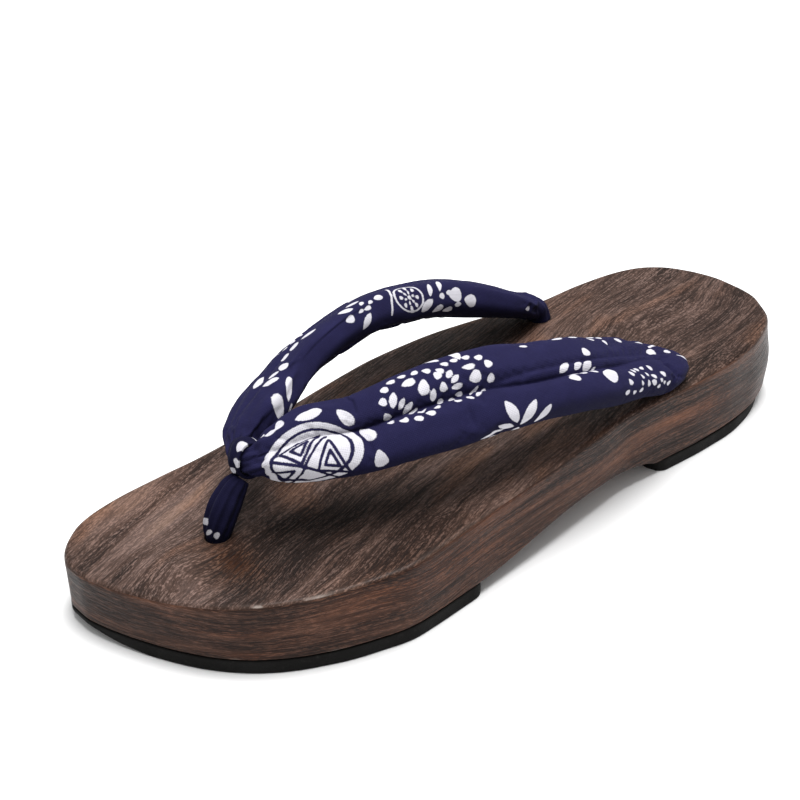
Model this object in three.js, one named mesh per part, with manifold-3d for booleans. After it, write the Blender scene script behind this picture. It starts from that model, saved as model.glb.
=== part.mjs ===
// A geta sandal for the left foot: a foot-shaped wooden board with rubber pads under its heel and
// forefoot, and a padded fabric strap (hanao) held at the front by a toe thong (maetsubo).
// Millimetres. +X points to the toe, +Y to the wearer's left (the outer side), +Z up.
// The origin is on the ground, in the middle of the board's length and width.
import * as THREE from 'three';
import { mergeVertices } from 'three/addons/utils/BufferGeometryUtils.js';
import Module from 'manifold-3d';

const wasm = await Module();
wasm.setup();

// ---------------------------------------------------------------- driving dimensions
const HALF_LENGTH = 135; // of the board, heel tip or toe tip from the middle
const WOOD_BASE = 5; // height of the wood's flat underside above the ground
const SEAM = 0.3; // gap between pieces that touch
const TOP_ROUND = 1.6; // radius of the board's upper edge
const BASE_BEVEL = 0.8; // bevel of the board's lower edge
const PAD_BEVEL = 0.5; // bevel of the rubber pads' edges
const PAD_CORNER = 5; // corner radius at the pads' cut ends
const FRONT_PAD_END = 30; // where the forefoot pad stops, towards the heel
const HEEL_PAD_END = -57; // where the heel pad stops, towards the toe
const BOARD_STATIONS = 56; // sections of the board, heel to toe
const PAD_STATIONS = 26; // sections of each rubber pad
const ROUND_STEPS = 3; // facets in the rounding of the upper edge

const HOLE_RADIUS = 4.3; // strap holes through the board
const RECESS_RADIUS = 6.6; // recess below each hole, for the knot
const RECESS_TOP = 14; // height of the recess's ceiling
const HOLE_SIDES = 32;
const FRONT_HOLE = { x: 94.7, y: -4.6 };
const REAR_HOLE = { x: -69.3, spread: 29.4, skew: 4 }; // as in the strap's table below

const ARM_STATIONS = 44; // sections of each strap arm
const ARM_SIDES = 22; // points round an arm's section
const FULLNESS = 0.68; // exponent of the wide padded section; 1 is an ellipse, lower is squarer
const FULL_ASPECT = 1.8; // width over thickness at which the section is that full
const GROOVE_WIDTH = 0.1; // of the stitched groove, as a share of the arm's width
const THONG_STATIONS = 26;
const THONG_SIDES = 18;
const LOOP_THICKNESS = 1.7; // of the thong's loop over the crossing
const LOOP_WIDTH = 6;
const LOOP_STEPS = 28;
const LOOP_SIDES = 12;
const CROSSING = { x: 81.8, z: 49, halfX: 3.5, halfZ: 4.6 }; // strap's section inside the loop

// ---------------------------------------------------------------- tables
// Plan of the board: its outer (lateral) and inner (medial) edge at each section.
const PLAN = [
  { x: -135, lateral: 4, medial: -2 },
  { x: -134, lateral: 12.5, medial: -9 },
  { x: -131, lateral: 19, medial: -17.5 },
  { x: -126, lateral: 26.5, medial: -26 },
  { x: -118, lateral: 32, medial: -32.5 },
  { x: -106, lateral: 36.5, medial: -36.5 },
  { x: -90, lateral: 39, medial: -38.5 },
  { x: -75, lateral: 39.5, medial: -39 },
  { x: -60, lateral: 39, medial: -42.5 },
  { x: -45, lateral: 39, medial: -46 },
  { x: -25, lateral: 41.5, medial: -48.5 },
  { x: 0, lateral: 44.5, medial: -49.5 },
  { x: 20, lateral: 46, medial: -48 },
  { x: 40, lateral: 48, medial: -46 },
  { x: 60, lateral: 49.5, medial: -44.5 },
  { x: 75, lateral: 46.5, medial: -44 },
  { x: 90, lateral: 41, medial: -44.5 },
  { x: 105, lateral: 32, medial: -45 },
  { x: 115, lateral: 22, medial: -44.5 },
  { x: 122, lateral: 11.5, medial: -43 },
  { x: 128, lateral: -0.5, medial: -39.5 },
  { x: 132, lateral: -10.5, medial: -35.5 },
  { x: 134, lateral: -17, medial: -32 },
  { x: 135, lateral: -23, medial: -28.5 },
];

// Height of the board's top: level under the heel and arch, then an S-shaped fall to the toe.
const TOP = [
  { x: -135, z: 32 },
  { x: -100, z: 31.5 },
  { x: -60, z: 31 },
  { x: -20, z: 31.5 },
  { x: 10, z: 30.5 },
  { x: 40, z: 29 },
  { x: 70, z: 27.5 },
  { x: 105, z: 25.5 },
  { x: 135, z: 22 },
];

// Height of the wood's underside: flat over both pads, with the arch cut between them.
const UNDERSIDE = [
  { x: -135, z: WOOD_BASE },
  { x: HEEL_PAD_END, z: WOOD_BASE },
  { x: -51, z: 7 },
  { x: -42, z: 9 },
  { x: -30, z: 10.5 },
  { x: -16, z: 11 },
  { x: -3, z: 10 },
  { x: 9, z: 8 },
  { x: 19, z: 6 },
  { x: FRONT_PAD_END, z: WOOD_BASE },
  { x: 135, z: WOOD_BASE },
];

// Height of the forefoot pad's tread: flat, then bevelled up to the toe tip.
const TREAD = [
  { x: FRONT_PAD_END, z: 0 },
  { x: 126, z: 0 },
  { x: 131, z: 1 },
  { x: 135, z: 3 },
];

// A strap arm from the crossing back to its knot under the board. spread is the distance from the
// strap's middle line; tilt turns the padded band's outer edge down, in degrees; groove is the depth
// of the stitched groove as a share of the half thickness; skew sets the lateral arm back and the
// medial arm forward, because the outer hole is nearer the heel.
const ARM = [
  { x: 81.4, spread: -3.2, z: 48.8, width: 6.2, thickness: 4.6, tilt: 40, groove: 0, skew: 0 },
  { x: 82, spread: 0, z: 49, width: 8.2, thickness: 6, tilt: 40, groove: 0, skew: 0 },
  { x: 81.2, spread: 3.6, z: 49.5, width: 9.6, thickness: 7.4, tilt: 36, groove: 0.05, skew: 0 },
  { x: 75.5, spread: 8.5, z: 51.5, width: 17.5, thickness: 11.5, tilt: 29, groove: 0.15, skew: 0 },
  { x: 66, spread: 13.5, z: 54, width: 24, thickness: 13, tilt: 27, groove: 0.25, skew: 0 },
  { x: 54, spread: 20, z: 55.5, width: 25, thickness: 13, tilt: 33, groove: 0.3, skew: 0 },
  { x: 40, spread: 25.5, z: 58, width: 27, thickness: 13.5, tilt: 36, groove: 0.3, skew: 0 },
  { x: 25, spread: 29.5, z: 59, width: 28.5, thickness: 14, tilt: 38, groove: 0.3, skew: 0 },
  { x: 10, spread: 32.5, z: 59, width: 28.5, thickness: 14.5, tilt: 34, groove: 0.3, skew: 0 },
  { x: -5, spread: 34, z: 56.5, width: 27, thickness: 14.5, tilt: 30, groove: 0.3, skew: 0 },
  { x: -20, spread: 34.5, z: 53, width: 26.5, thickness: 14.5, tilt: 28, groove: 0.25, skew: 0 },
  { x: -34, spread: 33.5, z: 48, width: 26, thickness: 13.5, tilt: 24, groove: 0.2, skew: 0 },
  { x: -46, spread: 32.5, z: 43.5, width: 25, thickness: 12, tilt: 19, groove: 0.15, skew: 1 },
  { x: -57, spread: 32, z: 39, width: 22, thickness: 10, tilt: 14, groove: 0.1, skew: 2.5 },
  { x: -64.8, spread: 31.4, z: 37, width: 16, thickness: 9, tilt: 8, groove: 0, skew: 3.5 },
  { x: -68.8, spread: 29.8, z: 34.4, width: 10.2, thickness: 8, tilt: 0, groove: 0, skew: 4 },
  { x: -69.3, spread: 29.4, z: 31, width: 7.6, thickness: 7.6, tilt: 0, groove: 0, skew: 4 },
  { x: -69.3, spread: 29.4, z: 14, width: 7.6, thickness: 7.6, tilt: 0, groove: 0, skew: 4 },
  { x: -69.3, spread: 29.4, z: 12, width: 11.2, thickness: 11.2, tilt: 0, groove: 0, skew: 4 },
  { x: -69.3, spread: 29.4, z: 8.4, width: 11.6, thickness: 11.6, tilt: 0, groove: 0, skew: 4 },
  { x: -69.3, spread: 29.4, z: 6, width: 7.4, thickness: 7.4, tilt: 0, groove: 0, skew: 4 },
];

// The thong's stem, from its knot under the board up to the loop. length is fore and aft.
const THONG = [
  { x: 94.7, z: 6, width: 7.4, length: 7.4 },
  { x: 94.7, z: 8.4, width: 11.6, length: 11.6 },
  { x: 94.7, z: 12, width: 11.2, length: 11.2 },
  { x: 94.7, z: 14, width: 7.6, length: 7.6 },
  { x: 94.7, z: 25.6, width: 7.6, length: 7.6 },
  { x: 94.6, z: 27.6, width: 10, length: 10.4 },
  { x: 93.2, z: 31.6, width: 10.8, length: 12 },
  { x: 91, z: 35.8, width: 9.8, length: 10.8 },
  { x: 87.6, z: 40, width: 7.6, length: 7.8 },
  { x: 84.2, z: 42.9, width: 5.8, length: 4.2 },
];

// ---------------------------------------------------------------- helpers
// The strap's middle line in plan, from the front hole to midway between the rear holes.
const middleLine = (x) => -2.5 - 0.03 * x;

// A smooth curve through the rows that never overshoots them: a monotone cubic.
function through(places, values) {
  const gaps = places.slice(1).map((place, i) => place - places[i]);
  const slopes = gaps.map((gap, i) => (values[i + 1] - values[i]) / gap);
  const tangents = places.map((_, i) => {
    if (i === 0) return slopes[0];
    if (i === slopes.length) return slopes[i - 1];
    if (slopes[i - 1] * slopes[i] <= 0) return 0;
    const before = 2 * gaps[i] + gaps[i - 1];
    const after = gaps[i] + 2 * gaps[i - 1];
    return (before + after) / (before / slopes[i - 1] + after / slopes[i]);
  });
  return (place) => {
    let i = 0;
    while (i < gaps.length - 1 && place > places[i + 1]) i += 1;
    const t = THREE.MathUtils.clamp((place - places[i]) / gaps[i], 0, 1);
    const rise = t * t * (3 - 2 * t);
    return values[i] * (1 - rise) + values[i + 1] * rise
      + gaps[i] * t * (1 - t) * ((1 - t) * tangents[i] - t * tangents[i + 1]);
  };
}

const heightOf = (rows) => through(rows.map((row) => row.x), rows.map((row) => row.z));
// The plan is smooth against this angle even at the round tips, where it isn't against x.
const sweepAngle = (x) => Math.acos(THREE.MathUtils.clamp(-x / HALF_LENGTH, -1, 1));
const planEdge = (side) => {
  const edge = through(PLAN.map((row) => sweepAngle(row.x)), PLAN.map((row) => row[side]));
  return (x) => edge(sweepAngle(x));
};
const lateralEdge = planEdge('lateral');
const medialEdge = planEdge('medial');
const topHeight = heightOf(TOP);
const undersideHeight = heightOf(UNDERSIDE);
const treadHeight = heightOf(TREAD);

// Sections from x = start to x = end, closer together at the board's round tips.
function stationsBetween(start, end, count) {
  const from = sweepAngle(start);
  const to = sweepAngle(end);
  const place = (i) => -HALF_LENGTH * Math.cos(from + ((to - from) * i) / count);
  return Array.from({ length: count + 1 }, (_, i) => place(i));
}

// Closed plan: the lateral edge from heel to toe, then the medial edge back, with an equal count.
// corner trims the edges at a cut end, so that it has round corners.
function planLoop(stations, cutEnd) {
  const trim = (x) => {
    if (cutEnd === null) return 0;
    const depth = Math.abs(x - cutEnd);
    if (depth >= PAD_CORNER) return 0;
    return PAD_CORNER - Math.sqrt(PAD_CORNER ** 2 - (PAD_CORNER - depth) ** 2);
  };
  const lateral = stations.map((x) => new THREE.Vector2(x, lateralEdge(x) - trim(x)));
  const medial = stations.map((x) => new THREE.Vector2(x, medialEdge(x) + trim(x)));
  return [...lateral, ...medial.reverse()];
}

// The loop moved inwards. It runs clockwise seen from above, so inwards is to the right.
function inset(loop, distance) {
  const inward = (from, to) => new THREE.Vector2(to.y - from.y, from.x - to.x).normalize();
  return loop.map((point, i) => {
    const before = inward(loop[(i + loop.length - 1) % loop.length], point);
    const after = inward(point, loop[(i + 1) % loop.length]);
    const bisector = before.clone().add(after).normalize();
    const miter = distance / Math.max(0.6, bisector.dot(before));
    return point.clone().addScaledVector(bisector, miter);
  });
}

function geometryFrom(points, faces) {
  const geometry = new THREE.BufferGeometry();
  geometry.setAttribute('position', new THREE.Float32BufferAttribute(points.flat(), 3));
  geometry.setIndex(faces.flat());
  return geometry;
}

// A slab with the plan's outline between two height functions: rings up its wall, then strips
// across its bottom and top from the lateral to the medial edge.
function slab(stations, cutEnd, bottomAt, topAt, bevel, round) {
  const loop = planLoop(stations, cutEnd);
  const rings = [
    { inset: bevel, lift: 0, at: bottomAt },
    { inset: 0, lift: bevel, at: bottomAt },
  ];
  for (let step = 0; step <= ROUND_STEPS; step += 1) {
    const angle = (step / ROUND_STEPS) * (Math.PI / 2);
    rings.push({ inset: round * (1 - Math.cos(angle)), lift: round * (Math.sin(angle) - 1), at: topAt });
  }
  const points = [];
  for (const ring of rings) {
    for (const { x, y } of inset(loop, ring.inset)) points.push([x, y, ring.at(x) + ring.lift]);
  }
  const size = loop.length;
  const faces = [];
  for (let ring = 0; ring < rings.length - 1; ring += 1) {
    for (let i = 0; i < size; i += 1) {
      const a = ring * size + i;
      const b = ring * size + ((i + 1) % size);
      faces.push([a, a + size, b], [b, a + size, b + size]);
    }
  }
  const topRing = (rings.length - 1) * size;
  for (let i = 0; i < stations.length - 1; i += 1) {
    const far = size - 1 - i;
    faces.push([i, i + 1, far], [i + 1, far - 1, far]);
    faces.push([topRing + i, topRing + far, topRing + i + 1]);
    faces.push([topRing + i + 1, topRing + far, topRing + far - 1]);
  }
  return geometryFrom(points, faces);
}

// A closed skin over rings of equal size, capped at both ends from their centres.
function loft(rings) {
  const size = rings[0].length;
  const points = rings.flat();
  const faces = [];
  for (let ring = 0; ring < rings.length - 1; ring += 1) {
    for (let i = 0; i < size; i += 1) {
      const a = ring * size + i;
      const b = ring * size + ((i + 1) % size);
      faces.push([a, b, a + size], [b, b + size, a + size]);
    }
  }
  const last = (rings.length - 1) * size;
  for (let i = 1; i < size - 1; i += 1) {
    faces.push([0, i + 1, i], [last, last + i, last + i + 1]);
  }
  return geometryFrom(points.map((point) => point.toArray()), faces);
}

function solidFrom(geometry) {
  const bare = geometry.clone();
  bare.deleteAttribute('normal');
  bare.deleteAttribute('uv');
  const merged = mergeVertices(bare, 1e-4);
  const solid = new wasm.Manifold(new wasm.Mesh({
    numProp: 3,
    vertProperties: new Float32Array(merged.attributes.position.array),
    triVerts: new Uint32Array(merged.index.array),
  }));
  return solid;
}

function geometryOf(solid) {
  const mesh = solid.getMesh();
  const geometry = new THREE.BufferGeometry();
  geometry.setAttribute('position', new THREE.BufferAttribute(mesh.vertProperties, 3));
  geometry.setIndex(new THREE.BufferAttribute(mesh.triVerts, 1));
  return geometry;
}

function uprightCylinder(radius, bottom, top, x, y) {
  const cylinder = new THREE.CylinderGeometry(radius, radius, top - bottom, HOLE_SIDES);
  cylinder.rotateX(Math.PI / 2);
  cylinder.translate(x, y, (top + bottom) / 2);
  return solidFrom(cylinder);
}

// A circle's coordinate raised to a power: the outline is fuller than an ellipse below 1.
const fuller = (value, exponent) => Math.sign(value) * Math.abs(value) ** exponent;

// A round section stays round, and the wide band is full.
function fullnessOf(width, thickness) {
  const share = THREE.MathUtils.smoothstep(width / thickness, 1, FULL_ASPECT);
  return THREE.MathUtils.lerp(1, FULLNESS, share);
}

// ---------------------------------------------------------------- the wooden board
const REAR_HOLES = [1, -1].map((side) => {
  const x = REAR_HOLE.x - side * REAR_HOLE.skew;
  return { x, y: middleLine(x) + side * REAR_HOLE.spread };
});

function boardGeometry() {
  const stations = stationsBetween(-HALF_LENGTH, HALF_LENGTH, BOARD_STATIONS);
  const body = slab(stations, null, undersideHeight, topHeight, BASE_BEVEL, TOP_ROUND);
  let board = solidFrom(body);
  for (const hole of [FRONT_HOLE, ...REAR_HOLES]) {
    board = board.subtract(uprightCylinder(HOLE_RADIUS, RECESS_TOP - 1, 40, hole.x, hole.y));
    board = board.subtract(uprightCylinder(RECESS_RADIUS, 0, RECESS_TOP, hole.x, hole.y));
  }
  return geometryOf(board);
}

// ---------------------------------------------------------------- the rubber pads
const padTop = () => WOOD_BASE - SEAM;

function frontPadGeometry() {
  const stations = stationsBetween(FRONT_PAD_END, HALF_LENGTH, PAD_STATIONS);
  return slab(stations, FRONT_PAD_END, treadHeight, padTop, PAD_BEVEL, PAD_BEVEL);
}

function heelPadGeometry() {
  const stations = stationsBetween(-HALF_LENGTH, HEEL_PAD_END, PAD_STATIONS);
  return slab(stations, HEEL_PAD_END, () => 0, padTop, PAD_BEVEL, PAD_BEVEL);
}

// ---------------------------------------------------------------- the strap
// One arm of the strap. side is +1 for the lateral arm and -1 for the medial one.
function armGeometry(side) {
  const path = new THREE.CatmullRomCurve3(
    ARM.map((row) => {
      const x = row.x - side * row.skew;
      return new THREE.Vector3(x, middleLine(x) + side * row.spread, row.z);
    }),
  );
  const order = ARM.map((_, i) => i);
  const column = (name) => through(order, ARM.map((row) => row[name]));
  const width = column('width');
  const thickness = column('thickness');
  const tilt = column('tilt');
  const groove = column('groove');
  const rings = [];
  for (let station = 0; station <= ARM_STATIONS; station += 1) {
    const share = station / ARM_STATIONS;
    const row = share * (ARM.length - 1);
    const centre = path.getPoint(share);
    const along = path.getTangent(share);
    const lean = THREE.MathUtils.degToRad(tilt(row));
    const across = new THREE.Vector3(0, side * Math.cos(lean), -Math.sin(lean));
    across.addScaledVector(along, -across.dot(along)).normalize();
    const face = new THREE.Vector3().crossVectors(along, across);
    const exponent = fullnessOf(width(row), thickness(row));
    const ring = [];
    for (let i = 0; i < ARM_SIDES; i += 1) {
      const angle = (i / ARM_SIDES) * 2 * Math.PI;
      const place = fuller(Math.cos(angle), exponent);
      const dip = 1 - groove(row) * Math.exp(-((place / 2 / GROOVE_WIDTH) ** 2));
      const outwards = (width(row) / 2) * place;
      const proud = (thickness(row) / 2) * fuller(Math.sin(angle), exponent) * dip;
      ring.push(centre.clone().addScaledVector(across, outwards).addScaledVector(face, proud));
    }
    rings.push(ring);
  }
  return loft(rings);
}

function upperGeometry() {
  const lateralArm = solidFrom(armGeometry(1));
  const medialArm = solidFrom(armGeometry(-1));
  const bindingGroove = solidFrom(loopGeometry(SEAM));
  return geometryOf(lateralArm.add(medialArm).subtract(bindingGroove));
}

// ---------------------------------------------------------------- the toe thong
function stemGeometry() {
  const path = new THREE.CatmullRomCurve3(
    THONG.map((row) => new THREE.Vector3(row.x, FRONT_HOLE.y, row.z)),
  );
  const order = THONG.map((_, i) => i);
  const width = through(order, THONG.map((row) => row.width));
  const length = through(order, THONG.map((row) => row.length));
  const across = new THREE.Vector3(0, 1, 0);
  const rings = [];
  for (let station = 0; station <= THONG_STATIONS; station += 1) {
    const share = station / THONG_STATIONS;
    const row = share * (THONG.length - 1);
    const centre = path.getPoint(share);
    const forward = new THREE.Vector3().crossVectors(across, path.getTangent(share));
    const ring = [];
    for (let i = 0; i < THONG_SIDES; i += 1) {
      const angle = (i / THONG_SIDES) * 2 * Math.PI;
      const point = centre.clone().addScaledVector(forward, (length(row) / 2) * Math.cos(angle));
      ring.push(point.addScaledVector(across, (width(row) / 2) * Math.sin(angle)));
    }
    rings.push(ring);
  }
  return loft(rings);
}

// The loop lies in the upright plane of the sandal's length and goes round the strap's crossing.
// grow thickens it on every side.
function loopGeometry(grow) {
  const points = [];
  const faces = [];
  for (let step = 0; step < LOOP_STEPS; step += 1) {
    const turn = (step / LOOP_STEPS) * 2 * Math.PI;
    for (let i = 0; i < LOOP_SIDES; i += 1) {
      const angle = (i / LOOP_SIDES) * 2 * Math.PI;
      const out = SEAM + LOOP_THICKNESS / 2 + (LOOP_THICKNESS / 2 + grow) * Math.cos(angle);
      points.push([
        CROSSING.x + (CROSSING.halfX + out) * Math.cos(turn),
        middleLine(CROSSING.x) + (LOOP_WIDTH / 2 + grow) * fuller(Math.sin(angle), FULLNESS),
        CROSSING.z + (CROSSING.halfZ + out) * Math.sin(turn),
      ]);
      const a = step * LOOP_SIDES + i;
      const b = step * LOOP_SIDES + ((i + 1) % LOOP_SIDES);
      const next = ((step + 1) % LOOP_STEPS) * LOOP_SIDES - step * LOOP_SIDES;
      faces.push([a, b, a + next], [b, b + next, a + next]);
    }
  }
  return geometryFrom(points, faces);
}

function thongGeometry() {
  return geometryOf(solidFrom(stemGeometry()).add(solidFrom(loopGeometry(0))));
}

// ---------------------------------------------------------------- the sandal
const wood = () => new THREE.MeshStandardMaterial({ color: 0x5a4034, roughness: 0.45, metalness: 0 });
const rubber = () => new THREE.MeshStandardMaterial({ color: 0x1e2020, roughness: 0.8, metalness: 0 });
const fabric = () => new THREE.MeshStandardMaterial({ color: 0x272550, roughness: 0.9, metalness: 0 });

function piece(name, geometry, material) {
  const mesh = new THREE.Mesh(geometry, material);
  mesh.name = name;
  return mesh;
}

const sandal = new THREE.Group();
sandal.add(
  piece('board', boardGeometry(), wood()),
  piece('front_outsole', frontPadGeometry(), rubber()),
  piece('heel_outsole', heelPadGeometry(), rubber()),
  piece('upper', upperGeometry(), fabric()),
  piece('toe_thong', thongGeometry(), fabric()),
);

export default sandal;
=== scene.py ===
"""Looks for the geta sandal: a burnt and varnished wooden board, rubber pads, and a padded strap
of printed indigo cotton held at the front by a toe thong.

Shapes are worked out in millimetres and written to the meshes in metres, in the CAD's frame:
+X to the toe, +Y to the outer (lateral) side, +Z up, the ground at Z = 0.
"""
import itertools
import math

import bpy
import numpy as np
from mathutils import Matrix, Vector


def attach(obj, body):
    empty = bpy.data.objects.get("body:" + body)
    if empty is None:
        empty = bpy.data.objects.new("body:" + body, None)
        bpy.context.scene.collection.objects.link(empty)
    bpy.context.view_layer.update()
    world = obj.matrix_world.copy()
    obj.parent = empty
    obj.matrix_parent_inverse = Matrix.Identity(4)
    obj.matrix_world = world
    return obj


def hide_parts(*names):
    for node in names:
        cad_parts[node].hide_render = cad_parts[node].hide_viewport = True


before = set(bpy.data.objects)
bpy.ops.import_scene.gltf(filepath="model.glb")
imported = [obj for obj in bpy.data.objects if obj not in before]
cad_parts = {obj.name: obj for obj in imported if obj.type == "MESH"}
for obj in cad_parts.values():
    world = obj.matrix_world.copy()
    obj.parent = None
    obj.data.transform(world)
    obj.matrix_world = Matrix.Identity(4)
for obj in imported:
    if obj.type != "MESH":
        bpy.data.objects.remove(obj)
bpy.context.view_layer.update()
MM = 0.001

# ---------------- driving dimensions
HALF_LENGTH = 135
WOOD_BASE = 5
SEAM = 0.3
TOP_ROUND = 1.6
BASE_BEVEL = 0.8
PAD_BEVEL = 0.5
PAD_CORNER = 5
FRONT_PAD_END = 30
HEEL_PAD_END = -57
HEEL_CENTRE = np.array([-95, -1.5])  # of the round back of the heel
HEEL_REACH = 34  # from there to where the swelling is full
HEEL_SWELL_FULL = -128  # x
HEEL_BULGE = 1.6  # of the wall at the back of the heel
HEEL_BULGE_HEIGHT = 16
HEEL_BULGE_REACH = 9  # above and below that height
HEEL_TUCK = 1.3  # of the heel pad's back edge, under the wood
BOARD_STATIONS = 300
BOARD_COLUMNS = 90
WALL_STEPS = 18
PAD_STATIONS = 150
PAD_COLUMNS = 60
PAD_WALL_STEPS = 4

HOLE_RADIUS = 4.3
RECESS_RADIUS = 6.6
RECESS_TOP = 14
HOLE_SIDES = 48
CUTTER_TOP = 40  # above the board
FRONT_HOLE = (94.7, -4.6)

FULLNESS = 0.68  # exponent of the wide padded section; 1 is an ellipse, lower is squarer
FULL_ASPECT = 1.8  # width over thickness at which the section is that full
ARM_STATIONS = 440
ARM_SIDES = 160
CLOTH_STATIONS = 160
CLOTH_SIDES = 60
THONG_STATIONS = 130
THONG_SIDES = 120
LOOP_THICKNESS = 1.7
LOOP_WIDTH = 6
LOOP_STEPS = 150
LOOP_SIDES = 56
CROSSING = {"x": 81.8, "z": 49, "half_x": 3.5, "half_z": 4.6}

# Plan of the board: x, then its outer and its inner edge.
PLAN = np.array([
    (-135, 4, -2), (-134, 12.5, -9), (-131, 19, -17.5), (-126, 26.5, -26), (-118, 32, -32.5),
    (-106, 36.5, -36.5), (-90, 39, -38.5), (-75, 39.5, -39), (-60, 39, -42.5), (-45, 39, -46),
    (-25, 41.5, -48.5), (0, 44.5, -49.5), (20, 46, -48), (40, 48, -46), (60, 49.5, -44.5),
    (75, 46.5, -44), (90, 41, -44.5), (105, 32, -45), (115, 22, -44.5), (122, 11.5, -43),
    (128, -0.5, -39.5), (132, -10.5, -35.5), (134, -17, -32), (135, -23, -28.5),
])

# Heights along x: the board's top, its underside with the arch, and the forefoot pad's tread.
TOP = np.array([
    (-135, 32), (-100, 31.5), (-60, 31), (-20, 31.5), (10, 30.5), (40, 29), (70, 27.5), (105, 25.5),
    (135, 22),
])
UNDERSIDE = np.array([
    (-135, WOOD_BASE), (HEEL_PAD_END, WOOD_BASE), (-51, 7), (-42, 9), (-30, 10.5), (-16, 11),
    (-3, 10), (9, 8), (19, 6), (FRONT_PAD_END, WOOD_BASE), (135, WOOD_BASE),
])
TREAD = np.array([(FRONT_PAD_END, 0), (126, 0), (131, 1), (135, 3)])

# A strap arm from the crossing to its knot: x, spread from the middle line, z, width, thickness,
# tilt of the outer edge in degrees, depth of the groove, skew between the two arms.
ARM = np.array([
    (81.4, -3.2, 48.8, 6.2, 4.6, 40, 0, 0), (82, 0, 49, 8.2, 6, 40, 0, 0),
    (81.2, 3.6, 49.5, 9.6, 7.4, 36, 0.05, 0),
    (75.5, 8.5, 51.5, 17.5, 11.5, 29, 0.15, 0), (66, 13.5, 54, 24, 13, 27, 0.25, 0),
    (54, 20, 55.5, 25, 13, 33, 0.3, 0), (40, 25.5, 58, 27, 13.5, 36, 0.3, 0),
    (25, 29.5, 59, 28.5, 14, 38, 0.3, 0), (10, 32.5, 59, 28.5, 14.5, 34, 0.3, 0),
    (-5, 34, 56.5, 27, 14.5, 30, 0.3, 0), (-20, 34.5, 53, 26.5, 14.5, 28, 0.25, 0),
    (-34, 33.5, 48, 26, 13.5, 24, 0.2, 0), (-46, 32.5, 43.5, 25, 12, 19, 0.15, 1),
    (-57, 32, 39, 22, 10, 14, 0.1, 2.5),
    (-63.4, 31.5, 37, 16.8, 9.2, 8, 0, 3.4), (-67.5, 30.2, 34.9, 11.6, 8.4, 3, 0, 3.9),
    (-69.3, 29.4, 31.6, 8, 7.8, 0, 0, 4), (-69.3, 29.4, 28, 7.6, 7.6, 0, 0, 4),
    (-69.3, 29.4, 14, 7.6, 7.6, 0, 0, 4),
    (-69.3, 29.4, 12, 11.2, 11.2, 0, 0, 4), (-69.3, 29.4, 8.4, 11.6, 11.6, 0, 0, 4),
    (-69.3, 29.4, 6, 7.4, 7.4, 0, 0, 4),
])
REAR_HOLE = {"x": -69.3, "spread": 29.4, "skew": 4}

# The thong's stem from its knot up to the loop: x, z, width across, length fore and aft.
THONG = np.array([
    (94.7, 6, 7.4, 7.4), (94.7, 8.4, 11.6, 11.6), (94.7, 12, 11.2, 11.2), (94.7, 14, 7.6, 7.6),
    (94.7, 25.6, 7.6, 7.6), (94.6, 27.6, 8.4, 8.8), (93.3, 31.6, 9.4, 10.2),
    (91.2, 35.8, 9.4, 10.8), (88.1, 39.8, 8, 9.6), (84.6, 42.8, 6, 5.2),
])


# ---------------- the camera, first
CAMERA_TARGET = Vector((-7.244, -40.534, 15)) * MM
CAMERA_DISTANCE = 600 * MM
CAMERA_BEARING = math.radians(51.687)  # from +X towards +Y
CAMERA_RISE = math.radians(32.221)
CAMERA_ROLL = math.radians(-2.318)
CAMERA_LENS = 75.46


def placed(name, data):
    thing = bpy.data.objects.new(name, data)
    bpy.context.scene.collection.objects.link(thing)
    return thing


def make_camera():
    data = bpy.data.cameras.new("camera")
    data.lens = CAMERA_LENS
    data.sensor_width = 36
    data.clip_start = 0.01
    camera = placed("camera", data)
    level = math.cos(CAMERA_RISE)
    back = Vector((level * math.cos(CAMERA_BEARING), level * math.sin(CAMERA_BEARING),
                   math.sin(CAMERA_RISE)))
    turn = back.to_track_quat("Z", "Y").to_matrix() @ Matrix.Rotation(CAMERA_ROLL, 3, "Z")
    camera.matrix_world = Matrix.LocRotScale(CAMERA_TARGET + back * CAMERA_DISTANCE, turn, None)
    bpy.context.scene.camera = camera


# ---------------- curves and noise
def through(places, values, at):
    """A smooth curve through the rows that never overshoots them, read at each place in `at`."""
    places, values, at = (np.asarray(a, float) for a in (places, values, at))
    gaps = np.diff(places)
    slopes = np.diff(values) / gaps
    before = 2 * gaps[1:] + gaps[:-1]
    after = gaps[1:] + 2 * gaps[:-1]
    same_way = slopes[:-1] * slopes[1:] > 0
    left = np.where(same_way, slopes[:-1], 1)
    right = np.where(same_way, slopes[1:], 1)
    inner = np.where(same_way, (before + after) / (before / left + after / right), 0)
    tangents = np.concatenate([slopes[:1], inner, slopes[-1:]])
    i = np.clip(np.searchsorted(places, at, side="right") - 1, 0, len(gaps) - 1)
    t = np.clip((at - places[i]) / gaps[i], 0, 1)
    rise = t * t * (3 - 2 * t)
    bend = gaps[i] * t * (1 - t) * ((1 - t) * tangents[i] - t * tangents[i + 1])
    return values[i] * (1 - rise) + values[i + 1] * rise + bend


def column(table, k, shares):
    """A table's column read smoothly; shares run from 0 to 1 over its rows."""
    return through(np.arange(len(table)), table[:, k], shares * (len(table) - 1))


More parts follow.
